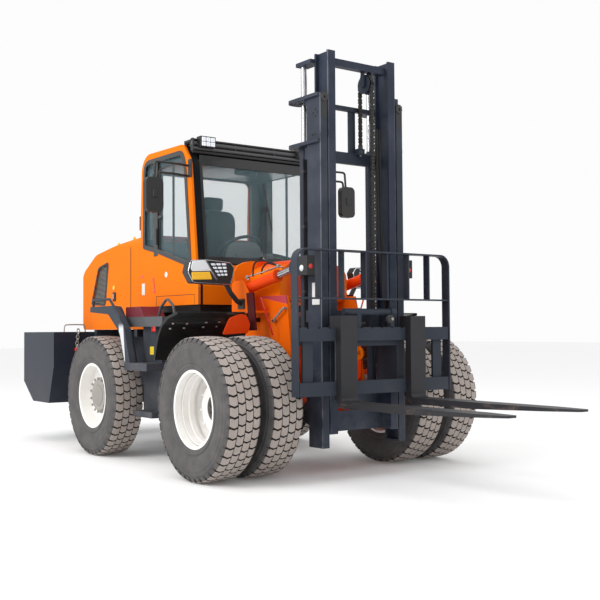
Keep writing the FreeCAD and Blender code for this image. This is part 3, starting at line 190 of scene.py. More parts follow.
def rubberPaint(name, color, dust, low, high, roughness=0.75):
    paint = Paint(name, color, roughness, Specular_IOR_Level=0.3)
    cloud = paint.noise(9, 6)
    fine = paint.noise(140, 4)
    amount = cloud.step(0.25, 0.75) * (high - low) + low
    paint.set("Base Color", paint.mix(amount * (fine.step(0.2, 0.6) * 0.4 + 0.6), color, dust))
    paint.set("Roughness", roughness + fine * 0.15)
    paint.bump(fine, 0.35, 0.001)
    return paint.material


def plainPaint(name, color, roughness=0.5, metallic=0.0, scale=80, change=0.12, coat=0.0, **fixed):
    paint = Paint(name, color, roughness, metallic, coat, **fixed)
    grain = paint.noise(scale, 4)
    paint.set("Base Color", paint.mix(grain.step(0.35, 0.75) * change, color, [c * 0.55 for c in color]))
    paint.set("Roughness", roughness + grain * 0.12)
    return paint.material


def forkPaint(name, color, worn):
    # black shank; the blade below is scraped to brown steel along its edges and top
    paint = Paint(name, color, 0.42, 0.0, 0.0, Specular_IOR_Level=0.4)
    x, y, z = paint.split(paint.where())
    streak = paint.node("ShaderNodeCombineXYZ", X=x * 2, Y=y * 30, Z=z * 9)
    scratch = paint.noise(2.0, 7, streak)
    patch = paint.noise(8, 6)
    blade = 1 - z.step(0.56, 0.63)
    mask = (scratch.step(0.55, 0.72) * 0.35 + patch.step(0.56, 0.70) * 0.45) * (blade * 0.85)
    paint.set("Base Color", paint.mix(mask, color, worn))
    paint.set("Roughness", 0.40 + patch * 0.25)
    paint.set("Metallic", blade * patch.step(0.5, 0.7) * 0.5)
    paint.bump(scratch, 0.10, 0.0006)
    return paint.material


def glassPaint(name, color, alpha, roughness=0.02):
    paint = Paint(name, color, roughness, 0, 0, IOR=1.45, Specular_IOR_Level=0.7)
    smear = paint.noise(2.2, 4)
    paint.set("Alpha", alpha + smear * 0.05)
    paint.set("Roughness", roughness + smear.step(0.5, 0.9) * 0.04)
    return paint.material


def fabricPaint(name, color):
    paint = Paint(name, color, 0.9, Sheen_Weight=0.25)
    x, y, z = paint.split(paint.where())
    weave = (x * 900).math("SINE") * (y * 900).math("SINE") + (z * 900).math("SINE") * 0.5
    paint.set("Base Color", paint.mix(weave.step(-0.6, 0.9), [c * 0.6 for c in color], color))
    paint.bump(weave, 0.4, 0.0007)
    return paint.material


def lensPaint(name, color, ribs=160, glow=0.0, roughness=0.12):
    paint = Paint(name, color, roughness, 0, 0.6, Coat_Roughness=0.04)
    x, y, z = paint.split(paint.where())
    rib = (y * ribs * 6.283).math("SINE") * 0.5 + (z * ribs * 6.283).math("SINE") * 0.5
    paint.set("Base Color", paint.mix(rib.step(-0.7, 0.9), [c * 0.6 for c in color], color))
    paint.bump(rib, 0.5, 0.0015)
    # emission: the lamps' lenses glow; the reflector, tags, caps and frame bead that share the red and amber
    # lenses get a painted glow
    if glow:
        paint.set("Emission Color", color)
        paint.set("Emission Strength", glow)
    return paint.material


orange = bodyPaint("orange paint", finishes["orange"], 0.34, 0.0, 0.05)
redOrange = bodyPaint("red orange paint", finishes["redOrange"], 0.30, 0.10, 0.06)
mastGrey = bodyPaint("mast paint", finishes["mastGrey"], 0.40, 0.08, 0.06, 0.25)
# slightly lighter copy of the mast paint for lit faces: painted light, used on the load guard
mastLitCopy = bodyPaint("mast side paint", (0.030, 0.037, 0.052), 0.42, 0.08, 0.10, 0.2)
chassisGrey = bodyPaint("chassis paint", finishes["chassisGrey"], 0.42, 0.08, 0.25, 0.2)
stepGrey = bodyPaint("step paint", finishes["stepGrey"], 0.40, 0.1, 0.25, 0.3)
weightDark = bodyPaint("weight paint", (0.018, 0.024, 0.038), 0.40, 0.08, 0.06)
blackPaint = bodyPaint("black paint", finishes["black"], 0.45, 0.2, 0.14)
cream = bodyPaint("rim paint", finishes["cream"], 0.34, 0.35, 0.16)
hubGrey = bodyPaint("hub paint", (0.30, 0.29, 0.27), 0.5, 0.1, 0.5)
treadTop = rubberPaint("tread tops", (0.14, 0.12, 0.11), finishes["treadDust"], 0.80, 1.0)
# near-black rubber for the grooves and the blocks' sides: painted shade, with a little dust
treadGrooveShade = rubberPaint("tread grooves", (0.010, 0.009, 0.009), (0.045, 0.035, 0.028), 0.1, 0.6)
sidewall = rubberPaint("tyre sidewalls", (0.050, 0.049, 0.052), (0.130, 0.118, 0.115), 0.25, 0.8, 0.55)
hoseBlack = rubberPaint("hose rubber", (0.008, 0.008, 0.009), (0.03, 0.03, 0.03), 0.0, 0.4, 0.45)
blackPlastic = plainPaint("black plastic", (0.014, 0.014, 0.015), 0.42, scale=300)
greyPlastic = plainPaint("grey plastic", (0.075, 0.078, 0.082), 0.5, scale=200)
cabBlack = plainPaint("cab trim", (0.012, 0.013, 0.014), 0.35, scale=150, coat=0.3)
chrome = plainPaint("chrome", (0.52, 0.52, 0.54), 0.16, 1.0, scale=40, change=0.05)
zinc = plainPaint("zinc plate", (0.38, 0.37, 0.35), 0.38, 0.9, scale=120, change=0.3)
chainSteel = plainPaint("oiled chain", (0.060, 0.056, 0.052), 0.36, 0.8, scale=120, change=0.4)
castIron = plainPaint("cast iron", (0.06, 0.06, 0.06), 0.7, 0.4, scale=200, change=0.4)
forkDark = forkPaint("fork steel", (0.016, 0.016, 0.020), (0.26, 0.19, 0.15))
glass = glassPaint("window glass", (0.26, 0.42, 0.47), 0.10)
mirrorGlass = plainPaint("mirror glass", (0.75, 0.78, 0.80), 0.03, 1.0, change=0.02)
seatFabric = fabricPaint("seat cloth", (0.018, 0.019, 0.022))
whiteLens = lensPaint("lamp lens", (0.86, 0.88, 0.90), 120, 0.15)
# the red and amber lenses also glow on the reflector, tags, caps and frame bead: painted glow there
amberLens = lensPaint("amber lens", (0.95, 0.50, 0.02), 90, 0.25)
redLens = lensPaint("red lens", (0.75, 0.015, 0.010), 90, 0.12)
ledLens = lensPaint("led lens", (0.80, 0.84, 0.90), 60, 0.35)
blank = plainPaint("blank label", (0.72, 0.71, 0.69), 0.5, scale=30, change=0.1)
# near-black red for the strut under the tilt bracket: painted shade
strutShade = plainPaint("strut red", (0.075, 0.006, 0.008), 0.5, scale=20, change=0.3, Specular_IOR_Level=0.15)
yellowBlank = plainPaint("yellow tag", (0.85, 0.62, 0.03), 0.5, scale=30, change=0.1)
floorPaint = plainPaint("studio floor", (0.88, 0.88, 0.88), 0.95, scale=3, change=0.01,
                        Specular_IOR_Level=0.1, Emission_Strength=finishes["glow"])
print("finishes ready")

finished = []


def finishNodes(material, names):
    for name in names.split():
        nodes[name].data.materials.clear()
        nodes[name].data.materials.append(material)
        finished.append(name)


# the other CAD nodes get their finish beside the zones and skins below
for material, names in (
    (chassisGrey, "rear_frame rear_axle"), (castIron, "engine_block"), (orange, "hood"), (zinc, "tow_pin"),
    (weightDark, "counterweight"), (stepGrey, "side_tanks"), (blackPaint, "cab_floor exhaust front_fenders"),
    (glass, "cab_glass door_glass"), (greyPlastic, "console"), (seatFabric, "seat_cushion seat_back"),
    (blackPlastic, "steering_wheel seat_base mirrors work_lamps air_cleaner headlamps side_lamps"),
    (redOrange, "front_axle tilt_cylinders steer_barrel_left steer_barrel_right"),
    (mastGrey, "lift_cylinders"),
    (chrome, "lift_rods tilt_rods steer_rod_left steer_rod_right"), (mastLitCopy, "load_guard"),
    (chainSteel, "lift_chain"), (forkDark, "fork_left fork_right"),
    (sidewall, "front_tyres_left front_tyres_right rear_tyre_left rear_tyre_right"),
):
    finishNodes(material, names)


# ---- mesh maker ----

def turns(count, start=0.0):
    # angles spaced evenly round a circle
    return [start + 2 * math.pi * k / count for k in range(count)]


class Maker:
    # collects faces in mm, then becomes one object that rides on a body
    def __init__(self, name, body, *materials):
        self.name, self.body, self.materials = name, body, list(materials)
        self.points, self.faces, self.finish = [], [], []

    def add(self, points, faces, material=0):
        base = len(self.points)
        self.points += [Vector(p) for p in points]
        self.faces += [[base + i for i in face] for face in faces]
        self.finish += [material] * len(faces)

    def box(self, x0, x1, y0, y1, z0, z1, chamfer=2, material=0):
        # block with its twelve edges cut at 45 degrees
        low = Vector((min(x0, x1), min(y0, y1), min(z0, z1)))
        high = Vector((max(x0, x1), max(y0, y1), max(z0, z1)))
        c = min(chamfer, min(high - low) * 0.45)
        points, index = [], {}
        for corner in range(8):
            signs = [(corner >> k) & 1 for k in range(3)]
            for axis in range(3):
                p = [high[k] if signs[k] else low[k] for k in range(3)]
                for k in range(3):
                    if k != axis:
                        p[k] += -c if signs[k] else c
                index[(corner, axis)] = len(points)
                points.append(p)
        faces = []
        for axis in range(3):
            a, b = (axis + 1) % 3, (axis + 2) % 3
            for side in (0, 1):
                ring = [(side << axis) | (p << a) | (q << b) for p, q in ((0, 0), (1, 0), (1, 1), (0, 1))]
                if not side:
                    ring.reverse()
                faces.append([index[(corner, axis)] for corner in ring])
            for p in (0, 1):
                for q in (0, 1):
                    near = (p << a) | (q << b)
                    far = near | (1 << axis)
                    faces.append([index[(near, a)], index[(far, a)], index[(far, b)], index[(near, b)]])
        faces += [[index[(corner, axis)] for axis in range(3)] for corner in range(8)]
        self.add(points, faces, material)

    def tube(self, path, radius, sides=10, material=0, caps=True):
        # round bar or hose through the points of path
        path = [Vector(p) for p in path]
        normal = None
        rings = []
        for i, p in enumerate(path):
            way = (path[min(i + 1, len(path) - 1)] - path[max(i - 1, 0)]).normalized()
            if normal is None:
                normal = way.orthogonal().normalized()
            normal = (normal - way * normal.dot(way)).normalized()
            other = way.cross(normal)
            size = radius[i] if isinstance(radius, (list, tuple)) else radius
            rings.append([p + (normal * math.cos(a) + other * math.sin(a)) * size for a in turns(sides)])
        self.rings(rings, True, material, caps)

    def rings(self, rings, closed, material=0, caps=False):
        # skin over rows of points
        count = len(rings[0])
        last = count if closed else count - 1
        faces = []
        for r in range(len(rings) - 1):
            here, after = r * count, (r + 1) * count
            for k in range(last):
                n = (k + 1) % count
                faces.append([here + k, here + n, after + n, after + k])
        if caps:
            faces.append(list(range(count))[::-1])
            faces.append([(len(rings) - 1) * count + k for k in range(count)])
        self.add([p for ring in rings for p in ring], faces, material)

    def lathe(self, profile, centre, axis="Y", steps=48, material=0):
        # profile of (radius, along) turned about an axis through centre
        rings = []
        for a in turns(steps):
            c, s = math.cos(a), math.sin(a)
            turned = {"X": lambda r, t: (t, r * c, r * s), "Y": lambda r, t: (r * s, t, r * c),
                      "Z": lambda r, t: (r * c, r * s, t)}[axis]
            rings.append([Vector(centre) + Vector(turned(r, t)) for r, t in profile])
        self.rings(rings + [rings[0]], False, material)

    def slab(self, outline, axis, start, end, chamfer=2, material=0):
        # flat outline (two other coordinates) between start and end along axis, edges eased
        count = len(outline)
        middle = Vector((sum(p[0] for p in outline) / count, sum(p[1] for p in outline) / count))
        flat = [Vector(p) for p in outline]

        def inset(p, i):
            a, b = flat[i - 1], flat[(i + 1) % count]
            into = ((a - p).normalized() + (b - p).normalized())
            if into.length < 0.05:
                into = middle - p
            into.normalize()
            if into.dot(middle - p) < 0 and count < 7:
                into.negate()
            return p + into * chamfer

        small = [inset(p, i) for i, p in enumerate(flat)]
        ease = chamfer if end > start else -chamfer
        levels = [(small, start), (flat, start + ease), (flat, end - ease), (small, end)]
        order = {"X": lambda u, v, t: (t, u, v), "Y": lambda u, v, t: (u, t, v),
                 "Z": lambda u, v, t: (u, v, t)}[axis]
        self.rings([[order(p.x, p.y, t) for p in ring] for ring, t in levels], True, material, True)

    def plate(self, points, radius, steps, *rest):
        # slab with its outline's corners rounded
        self.slab(roundOutline(points, radius, steps), *rest)

    def boxes(self, *rows):
        for row in rows:
            self.box(*row)

    def bolt(self, centre, axis, radius=9, height=7, material=0, washer=True):
        # hexagon head on its washer, standing out along axis
        way = Vector(axis).normalized()
        side = way.orthogonal().normalized()
        other = way.cross(side)
        centre = Vector(centre)

        def ring(size, lift, count):
            return [centre + way * lift + (side * math.cos(a) + other * math.sin(a)) * size
                    for a in turns(count)]
        if washer:
            self.rings([ring(radius * 1.35, 0, 12), ring(radius * 1.35, 1.5, 12)], True, material, True)
        self.rings([ring(radius, 1, 6), ring(radius, height - 1.5, 6), ring(radius * 0.85, height, 6)],
                   True, material, True)

    def build(self, smooth=32, between=None, stands=()):
        mesh = bpy.data.meshes.new(self.name)
        mesh.from_pydata([place(*p) for p in self.points], [], self.faces)
        for material in self.materials:
            mesh.materials.append(material)
        mesh.polygons.foreach_set("material_index", self.finish)
        work = bmesh.new()
        work.from_mesh(mesh)
        bmesh.ops.recalc_face_normals(work, faces=work.faces)
        work.to_mesh(mesh)
        work.free()
        mesh.shade_smooth()
        mesh.set_sharp_from_angle(angle=math.radians(smooth))
        mesh.update()
        piece = bpy.data.objects.new(self.name, mesh)
        bpy.context.scene.collection.objects.link(piece)
        if between:
            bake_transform(piece)
        else:
            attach(piece, self.body)
        if stands:
            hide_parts(*stands)
        return piece


def curvePoints(points, steps=6):
    # smooth path through the points
    points = [Vector(p) for p in points]
    ends = [2 * points[0] - points[1], *points, 2 * points[-1] - points[-2]]
    path = []
    for a, b, c, d in zip(ends, ends[1:], ends[2:], ends[3:]):
        for k in range(steps):
            t = k / steps
            path.append(0.5 * (2 * b + (c - a) * t + (2 * a - 5 * b + 4 * c - d) * t * t
                               + (3 * b - a - 3 * c + d) * t ** 3))
    return path + [points[-1]]


def roundOutline(points, radius, steps=5):
    # flat outline with its corners rounded
    count = len(points)
    out = []
    for i, point in enumerate(points):
        here = Vector(point[:2])
        size = point[2] if len(point) > 2 else radius
        before, after = Vector(points[i - 1][:2]) - here, Vector(points[(i + 1) % count][:2]) - here
        reach = min(size, before.length * 0.48, after.length * 0.48)
        a, b = here + before.normalized() * reach, here + after.normalized() * reach
        for k in range(steps + 1):
            t = k / steps
            out.append(a * (1 - t) ** 2 + here * 2 * t * (1 - t) + b * t * t)
    return out


# ---- tyres ----

tyreLook = {"radius": 540, "halfTread": 122, "rows": 44, "groove": 17, "columns": (-92, -31, 31, 92),
            "offsets": (0.0, -0.27, -0.60, -0.87), "halfColumn": 28.8, "grooveShare": 0.145,
            "outerGroove": 0.17, "cut": 4, "bend": 0.15}


def tyrePiece(name, body, centreX, centreY, side, turn):
    look = tyreLook
    maker = Maker(name, body, sidewall, treadTop, treadGrooveShade)
    centreZ = look["radius"]
    floorR = look["radius"] - look["groove"]
    pitch = 2 * math.pi / look["rows"]

    # carcass: bead to bead over the groove floor, with ridges on the walls
    wall = [(286, 112), (292, 118), (300, 122), (306, 127), (316, 128), (322, 134), (334, 134), (340, 129),
            (352, 136), (372, 141), (398, 145.5), (424, 147),
            (446, 145.5), (450, 147), (456, 147), (460, 144),
            (474, 141.5), (478, 143), (484, 142.5), (488, 139), (500, 134), (510, 128), (518, 121)]
    profile = wall + [(floorR, 108), (floorR + 2, 0), (floorR, -108)] + [(r, -y) for r, y in reversed(wall)]
    centre = Vector((centreX, centreY, centreZ))
    maker.lathe(profile, centre, "Y", 88)
    # the groove floor takes the near-black rubber of painted shade
    for index, face in enumerate(maker.faces):
        spots = [maker.points[i] - centre for i in face]
        if abs(sum(p.y for p in spots)) / 4 < 119 and sum(p.xz.length for p in spots) / 4 > 500:
            maker.finish[index] = 2

    def spot(angle, y, radius):
        return Vector((centreX + radius * math.sin(angle), centreY + y, centreZ + radius * math.cos(angle)))

    def crown(y):
        return look["radius"] - 7 * (abs(y) / look["halfTread"]) ** 3

    rand = random.Random(name)
    for row in range(look["rows"]):
        for column, (middle, offset) in enumerate(zip(look["columns"], look["offsets"])):
            a = turn + (row + offset) * pitch
            middle *= -side
            outer = (1 if middle > 0 else -1) if column in (0, 3) else 0
            halfArc = pitch * (0.5 - look["outerGroove" if outer else "grooveShare"] / 2)
            w = look["halfColumn"]
            bend = look["bend"] * pitch
            cut, nick = look["cut"], 0.02 * pitch
            shape = [(-halfArc + nick, -w), (-halfArc + bend * 0.14, -w + cut), (-halfArc + bend, 0),
                     (-halfArc + bend * 0.15, w - cut), (-halfArc + nick, w), (halfArc - nick, w),
                     (halfArc + bend * 0.15, w - cut), (halfArc + bend, 0), (halfArc + bend * 0.15, -w + cut),
                     (halfArc - nick, -w)]
            rings = []
            for lift, shrink in ((-look["groove"] - 2, 1.06), (-3, 1.0), (-0.8, 0.975), (0, 0.94)):
                ring = []
                for da, dy in shape:
                    y = middle + dy * shrink
                    ring.append(spot(a + da * shrink, y, crown(y) + lift + rand.uniform(-0.3, 0.3)))
                rings.append(ring)
            maker.rings(rings, True, 2)
            maker.add(rings[-1], [list(range(10))], 1)
            for k in range(10):
                maker.finish[-2 - k] = 1
            if outer:
                # lug running down the shoulder
                edge = outer * (abs(middle) + w * 0.93)
                steps = [(edge, crown(edge) - 1.2), (outer * 124, 528),
                         (outer * 132, 513), (outer * 137, 497)]
                rings = []
                for y, r in steps:
                    span = halfArc * (0.9 if r > 520 else 0.84)
                    rings.append([spot(a - span, y, r), spot(a - span * 0.92, y + outer * 2.5, r + 2.5),
                                  spot(a + span * 0.92, y + outer * 2.5, r + 2.5),
                                  spot(a + span, y, r)])
                start = len(maker.faces)
                maker.rings(rings, False, 0)
                maker.add(rings[-1], [[0, 1, 2, 3]], 0)
                for k in range(start, start + 3):
                    maker.finish[k] = 1
    return maker.build(38)


tyrePlaces = (
    ("tyre_front_left_inner", "front_wheel_left", 0, 716, None),
    ("tyre_front_left_outer", "front_wheel_left", 0, 1090, "front_tyres_left"),
    ("tyre_front_right_inner", "front_wheel_right", 0, -716, None),
    ("tyre_front_right_outer", "front_wheel_right", 0, -1090, "front_tyres_right"),
    ("tyre_rear_left", "rear_wheel_left", -2000, 996, "rear_tyre_left"),
    ("tyre_rear_right", "rear_wheel_right", -2000, -996, "rear_tyre_right"),
)
for index, (name, body, x, y, stands) in enumerate(tyrePlaces):
    piece = tyrePiece(name, body, x, y, 1 if y > 0 else -1, index * 0.37)
    if stands:
        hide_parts(stands)
print("tyres ready")


# ---- wheels ----

wheelLook = {"hubZ": 540, "rearX": -2000, "frontCircle": 184, "bolts": 10, "recess": 88, "recessBolts": 12,
             "rearCircle": 151, "rearBolts": 14}
hubZ, axleX = wheelLook["hubZ"], wheelLook["rearX"]


def wheelPaint(name, centreX, hubRadius, hubDark, hubLight):
    paint = Paint(name, finishes["cream"], 0.36, 0, 0.1)
    x, y, z = paint.split(paint.where())
    across = x - (centreX + originX) / 1000
    up = z - 0.54
    radius = (across * across + up * up) ** 0.5
    cloud = paint.noise(6, 6)
    dirt = (cloud.step(0.5, 0.85) * 0.12 + (1 - radius.step(0.10, 0.16)) * cloud.step(0.2, 0.6) * 0.30)
    rim = paint.mix(dirt, finishes["cream"], finishes["dust"])
    hub = paint.mix(cloud.step(0.3, 0.7), hubDark, hubLight)
    inside = radius.step(hubRadius - 0.003, hubRadius + 0.003)
    paint.set("Base Color", paint.mix(inside, hub, rim))
    paint.set("Roughness", 0.62 - inside * 0.32 + dirt * 0.3)
    paint.bump(paint.noise(500, 2), 0.08, 0.0005)
    return paint.material


finishNodes(wheelPaint("front wheel paint", 0, 0.106, (0.050, 0.045, 0.042), (0.16, 0.13, 0.11)),
            "front_wheels_left front_wheels_right")
finishNodes(wheelPaint("rear wheel paint", axleX, 0.167, (0.27, 0.265, 0.25), (0.34, 0.32, 0.29)),
            "rear_wheel_left rear_wheel_right")


def boltCircle(maker, x, y, sign, radius, count, start, *rest):
    for a in turns(count, start):
        maker.bolt((x + radius * math.sin(a), sign * y, hubZ + radius * math.cos(a)), (0, sign, 0), *rest)


def lockRing(maker, x, y, sign):
    # (radius, distance in from the rim's face)
    maker.lathe([(radius, sign * (y - depth)) for radius, depth in
                 ((277, 14), (284, 3), (292, -1.5), (300, 1), (302, 8))], (x, 0, hubZ), "Y", 72)


for side, sign in (("left", 1), ("right", -1)):
    # front: bolts on the hub's face and round its recess, stepped liner, beaded lock ring and valve
    maker = Maker(f"wheel_nuts_front_{side}", f"front_wheel_{side}", cream, castIron)
    hub = (0, 0, hubZ)
    boltCircle(maker, 0, 1023, sign, wheelLook["frontCircle"], wheelLook["bolts"], 0.2, 9, 12)
    boltCircle(maker, 0, 990, sign, wheelLook["recess"], wheelLook["recessBolts"], 0.1, 12, 14, 1)
    maker.lathe([(104, sign * 1022), (106, sign * 1026), (116, sign * 1026), (120, sign * 1023)],
                hub, "Y", 56)
    maker.lathe([(60, sign * 990), (58, sign * 1002), (20, sign * 1006), (0.5, sign * 1006)], hub, "Y", 32, 1)
    lockRing(maker, 0, 1208, sign)
    maker.lathe([(269, sign * 1150), (262, sign * 1148), (262, sign * 1096), (256, sign * 1092),
                 (256, sign * 1048)], hub, "Y", 72)
    maker.tube(curvePoints([(232, sign * 1085, 590), (246, sign * 1120, 592), (252, sign * 1160, 594)]),
               6, 8, 1)
    maker.build()
    # rear: bolts round the hub's edge and the lock ring
    maker = Maker(f"wheel_nuts_rear_{side}", f"rear_wheel_{side}", cream, hubGrey)
    boltCircle(maker, axleX, 1054, sign, wheelLook["rearCircle"], wheelLook["rearBolts"], 0, 10, 10, 1)
    maker.lathe([(96, sign * 1053), (96, sign * 1058), (92, sign * 1060), (0.5, sign * 1060)],
                (axleX, 0, hubZ), "Y", 40, 1)
    lockRing(maker, axleX, 1114, sign)
    maker.build()
print("wheels ready")



# ---- zones of colour on single CAD nodes ----

def zonedPaint(name, base, zones, roughness=0.34, coat=0.0, dusty=0.06):
    # base colour with other colours where each zone's mask is 1
    paint = Paint(name, base, roughness, 0, coat, Coat_Roughness=0.12, Specular_IOR_Level=0.03)
    x, y, z = paint.split(paint.where())
    cloud = paint.noise(3.5, 5)
    speck = paint.noise(60, 3)
    shade = base
    for mask, color in zones:
        shade = paint.mix(mask(x, y, z), shade, color)
    dirt = cloud.step(0.42, 0.78) * 0.4 * dusty + (1 - z.step(0.2, 0.9)) * cloud.step(0.3, 0.7) * dusty
    paint.set("Base Color", paint.mix(dirt, shade, finishes["dust"]))
    paint.set("Roughness", roughness + dirt * 0.6 + speck * 0.07)
    paint.bump(paint.noise(900, 2), 0.06, 0.0005)
    return paint.material


trim = (0.010, 0.012, 0.014)


def insideSkin(x, y, z):
    return 1 - y.math("ABSOLUTE").step(0.636, 0.640)


finishNodes(zonedPaint("cab side paint", finishes["orange"], [(insideSkin, trim)]),
            "cab_side_left cab_side_right cab_door")
finishNodes(zonedPaint("cab roof paint", finishes["orange"], [
    (lambda x, y, z: (1 - z.step(2.708, 2.712)) * x.step(-1.090, -1.086), trim)]), "cab_roof")
finishNodes(zonedPaint("cab rear paint", finishes["orange"], [
    (lambda x, y, z: x.step(-1.094, -1.090), trim)]), "cab_rear")
finishNodes(zonedPaint("cab front paint", trim, [
    (lambda x, y, z: 1 - z.step(1.688, 1.692), finishes["orange"])]), "cab_front")
finishNodes(zonedPaint("side deck paint", (0.085, 0.09, 0.098), [
    (lambda x, y, z: z.step(1.246, 1.248) * (1 - x.step(-0.530, -0.525)), (0.16, 0.022, 0.035))],
    0.36, 0.3, 0.25), "side_decks")


# ---- cab: seals, pillars, lining ----

cabLook = {"seal": 42, "innerSeal": 34, "sealProud": 5, "liningZ": 2600}


def ribbon(maker, outline, width, y, proud, material=0):
    # flat seal lying along a closed outline in x and z, on the plane y
    count = len(outline)
    flat = [Vector(p) for p in outline]
    centre = sum(flat, Vector((0, 0))) / count
    inner = []
    for i, p in enumerate(flat):
        way = (flat[(i + 1) % count] - flat[i - 1]).normalized()
        side = Vector((-way.y, way.x))
        if side.dot(centre - p) < 0:
            side.negate()
        inner.append(p + side * width)
    out = y + proud
    rings = [[(a.x, y, a.y), (a.x, out, a.y), (b.x, out, b.y), (b.x, y, b.y)] for a, b in zip(flat, inner)]
    maker.rings(rings + [rings[0]], True, material)


sideWindow = [(-1870, 1890, 30), (-1855, 2695, 120), (-1120, 2693, 90), (-1062, 2560, 150), (-970, 1662, 60),
              (-1627, 1842, 300)]
doorWindow = [(-1730, 1860, 40), (-1730, 2645, 70), (-1170, 2640, 50), (-1117, 2550, 130), (-1020, 1710, 60),
              (-1600, 1840, 200)]


def grown(outline, by):
    centre = Vector((sum(p[0] for p in outline) / len(outline), sum(p[1] for p in outline) / len(outline)))
    return [(*(Vector(p[:2]) + (Vector(p[:2]) - centre).normalized() * by), p[2]) for p in outline]


seal, proud = cabLook["seal"], cabLook["sealProud"]
maker = Maker("cab_seals_right", "rear", cabBlack, greyPlastic)
ribbon(maker, roundOutline(grown(sideWindow, 7), 40, 7), seal, -660, -proud)
ribbon(maker, roundOutline(grown(sideWindow, 2), 40, 7), cabLook["innerSeal"], -655, 20)
# post between the fixed quarter light and the sliding pane, the pane's rails and its latch
maker.boxes((-1664, -1586, -664, -622, 1800, 2700, 5), (-1586, -1060, -646, -628, 2588, 2606, 3),
            (-1340, -1322, -646, -628, 1745, 2600, 3, 1), (-1586, -1560, -650, -626, 1810, 2600, 3),
            (-1572, -1500, -668, -655, 2140, 2166, 4))
maker.tube([(-1590, -672, 1905), (-1590, -672, 2050)], 8, 8)
maker.build()

maker = Maker("cab_seals_left", "cab_door", cabBlack, greyPlastic)
ribbon(maker, roundOutline(grown(doorWindow, 7), 40, 7), seal, 660, proud)
maker.box(-1400, -1378, 628, 646, 1800, 2640, 3, 1)
maker.build()

maker = Maker("cab_lining", "rear", cabBlack, greyPlastic)
z0 = cabLook["liningZ"]
maker.plate([(-1868, z0 + 30), (-1868, z0 + 92), (-1120, z0 + 100),
             (-1068, z0 + 12), (-1120, z0), (-1800, z0)],
            20, 3, "Y", -600, 600, 6)
for y in (-1, 1):
    # inner posts at the rear corners and the trim below the windows
    maker.boxes((-1875, -1815, y * 612, y * 520, 1960, z0 + 40, 12),
                (-1680, -1590, y * 612, y * 598, 1400, z0 + 40, 6),
                (-1880, -1000, y * 613, y * 596, 1400, 1655, 8, 1))
maker.box(-1872, -1850, -520, 520, 1400, 1955, 6, 1)
maker.build()

# windscreen: black border and the wiper
maker = Maker("screen_border", "rear", cabBlack)


def screenX(z, inset=0):
    # x of the cab's front face at a height
    if z < 1700:
        return -895 - inset
    return -895 - (z - 1700) / 890 * 95 - inset


for y in (-1, 1):
    path = [(screenX(z, 12), z) for z in (1706, 1950, 2200, 2450, 2600)]
    maker.rings([[(x - 8, y * 569, z), (x, y * 569, z), (x, y * 536, z), (x - 8, y * 536, z)]
                 for x, z in path], True, 0, True)
maker.boxes((screenX(1720, 20), screenX(1720, 12), -560, 560, 1703, 1760, 2),
            (screenX(2620, 24), screenX(2620, 6), -560, 560, 2560, 2650, 4))
maker.build()

maker = Maker("wiper", "rear", blackPlastic)
maker.box(-905, -870, -4, 48, 1735, 1775, 6)
maker.tube([(-882, 22, 1756), (-905, 45, 1980), (-938, 83, 2214)], 7, 8)
maker.tube([(-880, 40, 1756), (-902, 62, 1980), (-936, 90, 2190)], 4, 6)
maker.tube([(-957, 71, 2442), (-945, 92, 2300), (-925, 122, 2110), (-915, 139, 2016)], 8, 6)
maker.box(-948, -926, 66, 100, 2196, 2232, 4)
maker.build()

# visor bars above the screen, and the roof gutter
maker = Maker("visor_bars", "rear", blackPlastic, greyPlastic)
maker.tube([(-985, -650, 2742), (-985, 650, 2742)], 17, 12, 1)
maker.tube([(-978, -640, 2698), (-978, 640, 2698)], 13, 12, 1)
maker.boxes((-998, -972, -648, 648, 2764, 2780, 4), (-1004, -984, -640, 640, 2658, 2682, 4))
for y in (-1, 1):
    maker.boxes((-1010, -966, y * 648, y * 632, 2672, 2784, 5),
                (-1108, -1005, y * 655, y * 640, 2752, 2766, 3),
                (-1000, -972, y * 210 - 8, y * 210 + 8, 2690, 2775, 3))
maker.build()

# work lamps' faces and their clamps
maker = Maker("work_lamp_faces", "rear", blackPlastic, ledLens)
for y in (-520, 520):
    maker.box(-936, -918, y - 76, y + 76, 2704, 2798, 6)
    for row in range(2):
        for column in range(3):
            a, b = y - 66 + column * 45, 2712 + row * 40
            maker.box(-922, -912, a, a + 41, b, b + 36, 4, 1)
    for side in (-1, 1):
        maker.tube([(-985, y + side * 82, 2745), (-950, y + side * 84, 2750)], 5, 8)
maker.build()

# mirror faces and clamps on the front posts
maker = Maker("mirror_faces", "rear", mirrorGlass, blackPlastic)
for y, low in ((1033, 2195), (-1033, 2111)):
    maker.plate([(y - 70, low + 10), (y + 70, low + 10), (y + 70, low + 282), (y - 70, low + 282)], 36, 5,
                "X", -984, -988.5, 1.5)
    maker.box(-965, -915, y - 22, y + 22, low + 120, low + 190, 6, 1)
for y in (-1, 1):
    maker.box(-1022, -958, y * 668, y * 655, 2440, 2600, 6, 1)
maker.build()

# inner mirror, instruments, levers on their console and two pedals
maker = Maker("cab_controls", "rear", blackPlastic, greyPlastic)
maker.box(-1150, -1120, -120, 120, 2530, 2590, 14)
maker.plate([(-150, 1700), (150, 1700), (170, 1820), (-170, 1820)], 30, 4, "X", -1012, -1030, 4)
for x in (-1500, -1430, -1360):
    maker.tube([(x, -400, 1700), (x - 10, -400, 1840)], 7, 8)
    maker.lathe([(0.5, 0), (17, 4), (21, 22), (14, 40), (0.5, 44)], (x - 11, -400, 1835), "Z", 16)
maker.box(-1600, -1290, -470, -330, 1365, 1705, 25, 1)
maker.tube([(-1120, 150, 1365), (-1105, 150, 1440)], 9, 8)
maker.tube([(-1100, 0, 1365), (-1100, 0, 1435)], 9, 8)
maker.boxes((-1135, -1060, 110, 190, 1430, 1442, 4), (-1135, -1060, -40, 40, 1430, 1442, 4))
maker.build()
print("cab ready")


# ---- seat ----

seatLook = {"rake": 0.10, "fill": 0.8, "headFill": 0.9, "grid": 22, "headGrid": 12, "squareness": 5.0}


